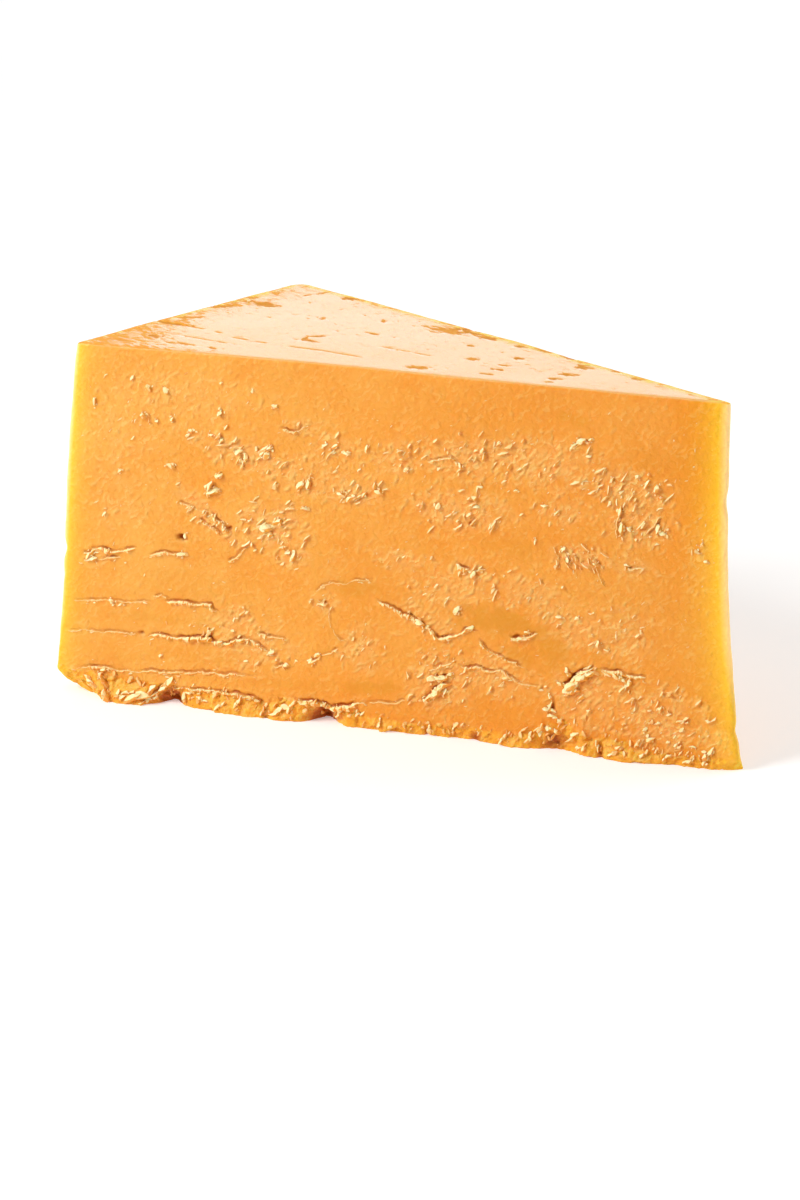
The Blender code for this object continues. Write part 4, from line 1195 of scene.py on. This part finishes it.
def flake_bits(cut_face):
    """Slivers, and flakes lifted along their lower right: in torn patches, along cracks and stray."""
    draw = np.random.default_rng(9)
    bits = []

    def add_flake(x, z, length, turn):
        width = length * draw.uniform(0.24, 0.5)
        thick, bend = draw.uniform(0.4, 0.7) * width, draw.normal(0, FLAKE_BEND) * length
        tilt, pale = -draw.uniform(0.2, 0.8), draw.uniform(0.3, 1.0)
        bits.append((x, z, length, width, thick, turn, bend, tilt, 0.1, pale))

    for x, z, length, half_width, turn, bend, strength in cut_face["slivers"]:
        if strength > LOOSE_SLIVER:
            bits.append((x, z, length, 2.2 * half_width, 2.2 * half_width, turn, bend, -0.3, 0.3, strength))
    for patch in ROUGH_PATCHES:
        for x, z, turn in strewn_over(draw, patch, FLAKES_PER_SQUARE_CM):
            add_flake(x, z, 0.4 + 1.5 * draw.random() ** 1.6, turn)
    for depth, half_width, *path in CRACKS:
        for (x0, z0), (x1, z1) in zip(path, path[1:]):
            for _ in range(draw.poisson(LIP_BITS_PER_MM * depth * math.hypot(x1 - x0, z1 - z0))):
                share, below = draw.random(), draw.uniform(0.35, 1.3)
                turn = math.atan2(z1 - z0, x1 - x0) + draw.normal(0, 0.5)
                add_flake(x0 + share * (x1 - x0) + draw.normal(0, 0.3), z0 + share * (z1 - z0) - below,
                          draw.uniform(0.4, 1.5), turn)
    for _ in range(LOOSE_BITS):
        x, z = draw.uniform(-76, 74), draw.uniform(4, HEIGHT - 3)
        if noise(np.array(x), np.array(z), 9.0, 24) > draw.uniform(-0.6, 0.9):
            add_flake(x, z, 0.3 + 0.7 * draw.random() ** 2, draw.uniform(-0.4, 1.8))
    return [bit for bit in bits if on_face(bit[0], bit[1])
            and cut_face["grid"].read_one(cut_face["smeared"], bit[0], bit[1]) < 0.5]


def fill(tree, node, inputs):
    """Fill a node's sockets with plain values, or link them to other nodes' sockets."""
    for key, value in inputs.items():
        socket = node.inputs[key]
        if isinstance(value, bpy.types.NodeSocket):
            tree.links.new(value, socket)
        elif socket.type == "RGBA":
            socket.default_value = (*value, 1.0)
        else:
            socket.default_value = value


def add_node(tree, kind, inputs=None, **settings):
    """A shader node with its settings made and its sockets filled."""
    node = tree.nodes.new(kind)
    for name, value in settings.items():
        setattr(node, name, value)
    fill(tree, node, inputs or {})
    return node


def mix_colour(tree, share, first, second):
    mixed = add_node(tree, "ShaderNodeMix", {0: share, 6: first, 7: second}, data_type="RGBA",
                     clamp_factor=True)
    return mixed.outputs[2]


def maths(tree, operation, first, second=0.0, third=0.0, clamp=False):
    return add_node(tree, "ShaderNodeMath", {0: first, 1: second, 2: third}, operation=operation,
                    use_clamp=clamp).outputs[0]


def vector_maths(tree, operation, *values):
    node = add_node(tree, "ShaderNodeVectorMath", dict(enumerate(values)), operation=operation)
    return node.outputs["Value" if operation == "DOT_PRODUCT" else "Vector"]


def spread(tree, value, low, high, new_low=0.0, new_high=1.0):
    """A value carried from one range to another, held inside it."""
    node = add_node(tree, "ShaderNodeMapRange", {"Value": value, "From Min": low, "From Max": high,
                                                 "To Min": new_low, "To Max": new_high})
    return node.outputs["Result"]


def speckle(tree, place, per_metre, detail=2.0, roughness=0.5):
    """Soft noise with bumps of about 1 / per_metre metres."""
    node = add_node(tree, "ShaderNodeTexNoise", {"Vector": place, "Scale": per_metre, "Detail": detail,
                                                 "Roughness": roughness})
    return node.outputs["Fac"]


def laid_along(tree, place, rotation, stretch):
    """Places turned and drawn out, so that what is laid on them lies along one direction."""
    node = add_node(tree, "ShaderNodeMapping", {"Vector": place, "Rotation": rotation,
                                                "Scale": (stretch, 1.0, 1.0)}, vector_type="TEXTURE")
    return node.outputs[0]


def stored(tree, name):
    """A finish value that the piece holds at its points."""
    return add_node(tree, "ShaderNodeAttribute", attribute_name=name).outputs["Fac"]


def times(tree, first, second):
    return maths(tree, "MULTIPLY", first, second)


def rest_of(tree, share):
    """What is left of 1 beside a share."""
    return maths(tree, "SUBTRACT", 1.0, share)


def greatest(tree, value, *others):
    for other in others:
        value = maths(tree, "MAXIMUM", value, other)
    return value


def new_group(name, inputs, outputs):
    """An empty node group with named sockets, what it is given, and its output node."""
    group = bpy.data.node_groups.new(name, "ShaderNodeTree")
    for in_out, sockets in (("INPUT", inputs), ("OUTPUT", outputs)):
        for socket_name, kind in sockets.items():
            group.interface.new_socket(socket_name, in_out=in_out, socket_type="NodeSocket" + kind)
    return group, group.nodes.new("NodeGroupInput").outputs, group.nodes.new("NodeGroupOutput")


def curd_mottling_group():
    """Cheese that is a little deeper here and paler there, in broad clouds and in fine specks."""
    group, given, result = new_group(
        "curd mottling",
        {"Place": "Vector", "Cheese": "Color", "Deeper": "Color", "Paler": "Color", "Cloud size": "Float",
         "Specks": "Float"},
        {"Colour": "Color"})
    per_metre = maths(group, "DIVIDE", 1.0, given["Cloud size"])
    clouds = speckle(group, given["Place"], per_metre, 3.0, 0.55)
    colour = mix_colour(group, spread(group, clouds, 0.35, 0.62), given["Deeper"], given["Cheese"])
    pale = spread(group, speckle(group, given["Place"], PALE_CLOUDS_PER_METRE, 4.0, 0.6), 0.52, 0.75)
    grains = spread(group, speckle(group, given["Place"], SPECKS_PER_METRE, 2.0, 0.6), 0.45, 0.75)
    for share, amount in ((pale, 0.55), (grains, given["Specks"])):
        colour = mix_colour(group, times(group, share, amount), colour, given["Paler"])
    fill(group, result, {"Colour": colour})
    return group


def curd_grain_group():
    """Height of the fine grain of pebbled curd."""
    group, given, result = new_group(
        "curd grain", {"Place": "Vector", "Smoothness": "Float"}, {"Height": "Float"})
    pebbles = maths(group, "SUBTRACT", speckle(group, given["Place"], PEBBLES_PER_METRE, 3.0, 0.55), 0.5)
    fill(group, result, {"Height": times(group, pebbles, rest_of(group, given["Smoothness"]))})
    return group


def torn_scales_group():
    """The small scales of torn curd, lifted along their lower right: how high, and the highlight and shade
    painted on them by the way they tilt.
    """
    group, given, result = new_group(
        "torn scales", {"Place": "Vector", "Per metre": "Float"},
        {"Height": "Float", "Painted highlight": "Float", "Shaded": "Float"})
    place, per_metre = given["Place"], given["Per metre"]
    stray = add_node(group, "ShaderNodeTexNoise",
                     {"Vector": place, "Scale": STRAYS_PER_METRE, "Detail": 3.0})
    strayed = vector_maths(group, "MULTIPLY_ADD", stray.outputs["Color"], 3 * (SCALE_STRAY,), place)
    laid = laid_along(group, strayed, (0.0, -math.radians(SCALE_SLANT), 0.0), SCALE_STRETCH)
    scale = add_node(group, "ShaderNodeTexVoronoi", {"Vector": laid, "Scale": per_metre}, feature="F1")
    inside = vector_maths(group, "SUBTRACT", laid, scale.outputs["Position"])
    across = add_node(group, "ShaderNodeSeparateXYZ", {"Vector": inside}).outputs["Z"]
    lifted = times(group, times(group, across, per_metre), -2.0)
    drawn = add_node(group, "ShaderNodeSeparateColor", {"Color": scale.outputs["Color"]}).outputs[0]
    tone = times(group, lifted, times(group, drawn, drawn))
    # Painted light: the part of each scale that tilts towards the upper left is painted pale, the part that
    # tilts away is painted shaded.
    fill(group, result, {"Height": tone, "Painted highlight": spread(group, tone, 0.06, 0.42),
                         "Shaded": spread(group, tone, -0.05, -0.45)})
    return group


def top_marks_group():
    """Small streaky marks in the glossy top and soft stains round them, as dense as is asked for."""
    group, given, result = new_group(
        "top marks", {"Place": "Vector", "Density": "Float"}, {"Mark": "Float", "Stain": "Float"})
    laid = laid_along(group, given["Place"], (0.0, 0.0, math.radians(MARK_SLANT)), MARK_STRETCH)
    streaks = speckle(group, laid, MARKS_PER_METRE, 4.0, 0.6)
    clumps = speckle(group, given["Place"], CLUMPS_PER_METRE, 2.0)
    rise = maths(group, "MULTIPLY_ADD", maths(group, "SUBTRACT", clumps, 0.5), 0.5, streaks)
    least = maths(group, "MULTIPLY_ADD", given["Density"], -0.20, 0.74)
    mark = spread(group, rise, least, maths(group, "ADD", least, 0.07))
    soft_streaks = spread(group, streaks, 0.35, 0.65, -0.58, 0.12)
    softly = maths(group, "MULTIPLY_ADD", given["Density"], 0.45, soft_streaks)
    fill(group, result, {"Mark": mark, "Stain": spread(group, softly, 0.0, 0.5, 0.0, 0.6)})
    return group


def oily_film_group():
    """Roughness of a cut cheese surface, where the oil lies in thin clouds."""
    group, given, result = new_group(
        "oily film", {"Place": "Vector", "Dry": "Float", "Oily": "Float"}, {"Roughness": "Float"})
    clouds = spread(group, speckle(group, given["Place"], FILM_CLOUDS_PER_METRE, 4.0, 0.6), 0.38, 0.64)
    difference = maths(group, "SUBTRACT", given["Oily"], given["Dry"])
    fill(group, result, {"Roughness": maths(group, "MULTIPLY_ADD", clouds, difference, given["Dry"])})
    return group


def use_group(tree, group, inputs):
    return add_node(tree, "ShaderNodeGroup", inputs, node_tree=group).outputs


def new_material(name):
    material = bpy.data.materials.new(name)
    material.use_nodes = True
    tree = material.node_tree
    principled = tree.nodes["Principled BSDF"]
    place = add_node(tree, "ShaderNodeTexCoord").outputs["Object"]
    return material, tree, principled, place


def mottled(tree, mottling, place, cheese, clouds):
    cloud_size, specks = clouds
    return use_group(tree, mottling, {"Place": place, "Cheese": cheese, "Deeper": CHEDDAR_DEEP,
                                      "Paler": CHEDDAR_PALE, "Cloud size": cloud_size, "Specks": specks})[0]


def filmed(tree, film, place, dry_and_oily):
    dry, oily = dry_and_oily
    return use_group(tree, film, {"Place": place, "Dry": dry, "Oily": oily})[0]


def let_light_in(tree, principled, light):
    """Light goes some way into cheese, red furthest."""
    weight, depth = light
    fill(tree, principled, {"Subsurface Weight": weight, "Subsurface Radius": LIGHT_REACH,
                            "Subsurface Scale": depth, "IOR": CHEESE_IOR})


def raise_bumps(tree, principled, height, bumps):
    strength, distance = bumps
    bump = add_node(tree, "ShaderNodeBump", {"Strength": strength, "Distance": distance, "Height": height})
    fill(tree, principled, {"Normal": bump.outputs[0]})


def wedge_material(mottling, grain, scales, marks, film):
    """Cut cheddar: torn, smeared and cracked in front, satin at its sides, glossy on top."""
    material, tree, principled, place = new_material("cut_cheddar")
    torn, smeared, cracked, broken, rich, pale, shaded, cut, rim, thin, glossy, bare, marked = (
        stored(tree, name) for name in ("torn", "smeared", "cracked", "broken", "rich", "pale", "shaded",
                                        "cut", "rim", "thin", "glossy", "bare", "marked"))
    scaly = spread(tree, greatest(tree, torn, times(tree, broken, 0.6)), 0.0, 1.0, PLAIN_SCALES, 1.0)
    scaly = times(tree, scaly, maths(tree, "SUBTRACT", cut, smeared, clamp=True))
    scale_outputs = use_group(tree, scales, {"Place": place, "Per metre": SCALES_PER_METRE})
    scale_height, scale_highlight, scale_shaded = (times(tree, output, scaly) for output in scale_outputs)

    colour = mottled(tree, mottling, place, CHEDDAR, WEDGE_CLOUDS)
    # Painted shade and painted highlight, laid where the slopes, slivers, lips, scales and crumb shadows
    # are.
    furrow = mix_colour(tree, broken, FURROW_SHADE, BROKEN_SHADE)
    painted_highlight = mix_colour(tree, broken, RAISED_CURD_HIGHLIGHT, BROKEN_CURD_HIGHLIGHT)
    for share, amount, tint in (
            (rich, 0.9, RICH_CHEDDAR), (torn, 0.7, TORN_CURD), (broken, 0.8, BROKEN_CURD),
            (smeared, 0.9, SMEARED_CURD), (greatest(tree, shaded, scale_shaded), 0.8, furrow),
            (greatest(tree, pale, scale_highlight), 0.8, painted_highlight)):
        colour = mix_colour(tree, times(tree, share, amount), colour, tint)
    # Painted shade in cracks and hollows.
    colour = mix_colour(tree, spread(tree, cracked, 0.08, 0.55, 0.0, 0.95), colour, CRACK_SHADE)
    # Painted light near the thin upright edges: a yellow colour here and an emitted glow below.
    at_edge = spread(tree, thin, *EDGE_THINNESS)
    colour = mix_colour(tree, thin, colour, mix_colour(tree, at_edge, THIN_EDGE_PAINTED_LIGHT, EDGE_PAINTED_LIGHT))
    # The glossy top takes a paler colour, partly a painted sheen.
    colour = mix_colour(tree, times(tree, glossy, rest_of(tree, bare)), colour, TOP_CURD_AND_SHEEN)
    mark_outputs = use_group(tree, marks, {"Place": place, "Density": marked})
    stained = times(tree, greatest(tree, *mark_outputs, spread(tree, bare, 0.06, 0.45)), glossy)
    colour = mix_colour(tree, stained, colour, TOP_STAIN)
    colour = mix_colour(tree, spread(tree, bare, 0.35, 0.9, 0.0, 0.9), colour, DENT_STAIN)
    # Painted yellow light along the top's back edges.
    colour = mix_colour(tree, times(tree, rim, rest_of(tree, stained)), colour, TOP_RIM_PAINTED_LIGHT)
    # Painted glow of the thin upright edges.
    painted_glow = mix_colour(tree, thin, (0.0, 0.0, 0.0), mix_colour(tree, at_edge, THIN_EDGE_PAINTED_GLOW, EDGE_PAINTED_GLOW))

    shown_film = times(tree, glossy, rest_of(tree, greatest(tree, stained, rim)))
    satin, shine = (filmed(tree, film, place, kind) for kind in (CUT_FILM, TOP_FILM))
    roughness = add_node(tree, "ShaderNodeMix", {0: shown_film, 2: satin, 3: shine}, data_type="FLOAT")
    dull = maths(tree, "MULTIPLY_ADD", stained, 0.3, roughness.outputs[0])
    smoothness = greatest(tree, times(tree, smeared, 0.7), times(tree, shown_film, 0.85),
                          times(tree, rest_of(tree, cut), 0.4))
    height = use_group(tree, grain, {"Place": place, "Smoothness": smoothness})[0]
    raise_bumps(tree, principled, maths(tree, "MULTIPLY_ADD", scale_height, 0.5, height), WEDGE_BUMPS)
    let_light_in(tree, principled, WEDGE_LIGHT)
    fill(tree, principled, {"Base Color": colour, "Emission Color": painted_glow,
                            "Emission Strength": PAINTED_GLOW_STRENGTH, "Roughness": dull,
                            "Specular IOR Level": 0.35, "Coat Weight": times(tree, shown_film, 0.65),
                            "Coat Roughness": 0.12, "Coat IOR": 1.5})
    return material


def crumb_material(mottling, grain, film):
    """Loose curd, with a pale highlight painted on the facets that face the light."""
    material, tree, principled, place = new_material("loose_curd")
    facing = add_node(tree, "ShaderNodeTexCoord").outputs["Normal"]
    lit = spread(tree, vector_maths(tree, "DOT_PRODUCT", facing, PAINTED_LIGHT_SIDE), 0.36, 0.72)
    root = mottled(tree, mottling, place, CRUMB_ROOT, CRUMB_CLOUDS)
    # Painted highlight: the facets that face the painted light side take a pale cream colour.
    colour = mix_colour(tree, times(tree, stored(tree, "painted_highlight"), lit), root, CRUMB_PAINTED_HIGHLIGHT)
    fill(tree, principled, {"Base Color": colour, "Roughness": filmed(tree, film, place, CRUMB_FILM)})
    height = use_group(tree, grain, {"Place": place, "Smoothness": 0.3})[0]
    raise_bumps(tree, principled, height, CRUMB_BUMPS)
    let_light_in(tree, principled, CRUMB_LIGHT)
    return material


def dress(piece, material):
    piece.data.materials.clear()
    piece.data.materials.append(material)
    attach(piece, "root")
    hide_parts("cheese_wedge")


def add_floor():
    """A plain pale floor."""
    mesh = bpy.data.meshes.new("studio_floor")
    shape = bmesh.new()
    bmesh.ops.create_grid(shape, x_segments=8, y_segments=8, size=6.0)
    shape.to_mesh(mesh)
    shape.free()
    floor = add_object("studio_floor", mesh)
    material, tree, principled, _ = new_material("pale_floor")
    fill(tree, principled, {"Base Color": FLOOR_WHITE, "Roughness": 0.9, "Specular IOR Level": 0.0,
                            "Emission Color": (1.0, 1.0, 1.0), "Emission Strength": FLOOR_GLOW})
    mesh.materials.append(material)


def add_lamp(name, direction, distance, width, height, radiance):
    """A soft lamp in a direction from the wedge, of even brightness over its face."""
    light = bpy.data.lights.new(name, "AREA")
    light.shape = "RECTANGLE"
    light.size, light.size_y = width, height
    light.energy = radiance * math.pi * width * height
    lamp = add_object(name, light)
    towards = Vector(direction).normalized()
    lamp.location = towards * distance + Vector((0.0, 0.0, LAMP_AIM_HEIGHT))
    lamp.rotation_euler = towards.to_track_quat("Z", "Y").to_euler()
    lamp.visible_camera = False


def add_world():
    """Even white light from all round, which shows brighter where the cheese mirrors it."""
    world = bpy.data.worlds.new("white_studio")
    bpy.context.scene.world = world
    world.use_nodes = True
    tree = world.node_tree
    seen = add_node(tree, "ShaderNodeLightPath").outputs
    mirrored = times(tree, seen["Is Glossy Ray"], WORLD_SHINE)
    fill(tree, tree.nodes["Background"], {
        "Color": (1.0, 1.0, 1.0), "Strength": greatest(tree, seen["Is Camera Ray"], mirrored, WORLD_LIGHT)})


def add_camera():
    azimuth, elevation = math.radians(CAMERA_AZIMUTH), math.radians(CAMERA_ELEVATION)
    back = Vector((math.sin(azimuth) * math.cos(elevation), -math.cos(azimuth) * math.cos(elevation),
                   math.sin(elevation)))
    data = bpy.data.cameras.new("photo_view")
    data.lens = CAMERA_LENS
    data.sensor_width = 36.0
    data.clip_start = 0.01
    camera = add_object("photo_view", data)
    camera.location = (Vector(CAMERA_AIM) + back * CAMERA_DISTANCE) * MM
    camera.rotation_euler = back.to_track_quat("Z", "Y").to_euler()
    bpy.context.scene.camera = camera


def main():
    cut_face, top_face = make_cut_face(), make_top_face()
    mottling, grain, film = curd_mottling_group(), curd_grain_group(), oily_film_group()
    wedge = make_wedge(cut_face, top_face)
    dress(wedge, wedge_material(mottling, grain, torn_scales_group(), top_marks_group(), film))
    loose = crumb_material(mottling, grain, film)
    dress(make_bits("curd_crumbs", cut_face, crumb_bits(), 2, CRUMB_SPREAD, 11), loose)
    dress(make_bits("curd_flakes", cut_face, flake_bits(cut_face), 1, FLAKE_SPREAD, 12), loose)
    dress(make_lips("curd_lips", cut_face), loose)

    add_floor()
    add_world()
    for lamp in LAMPS:
        add_lamp(*lamp)
    add_camera()
    bpy.context.scene.view_settings.view_transform = "Standard"


main()
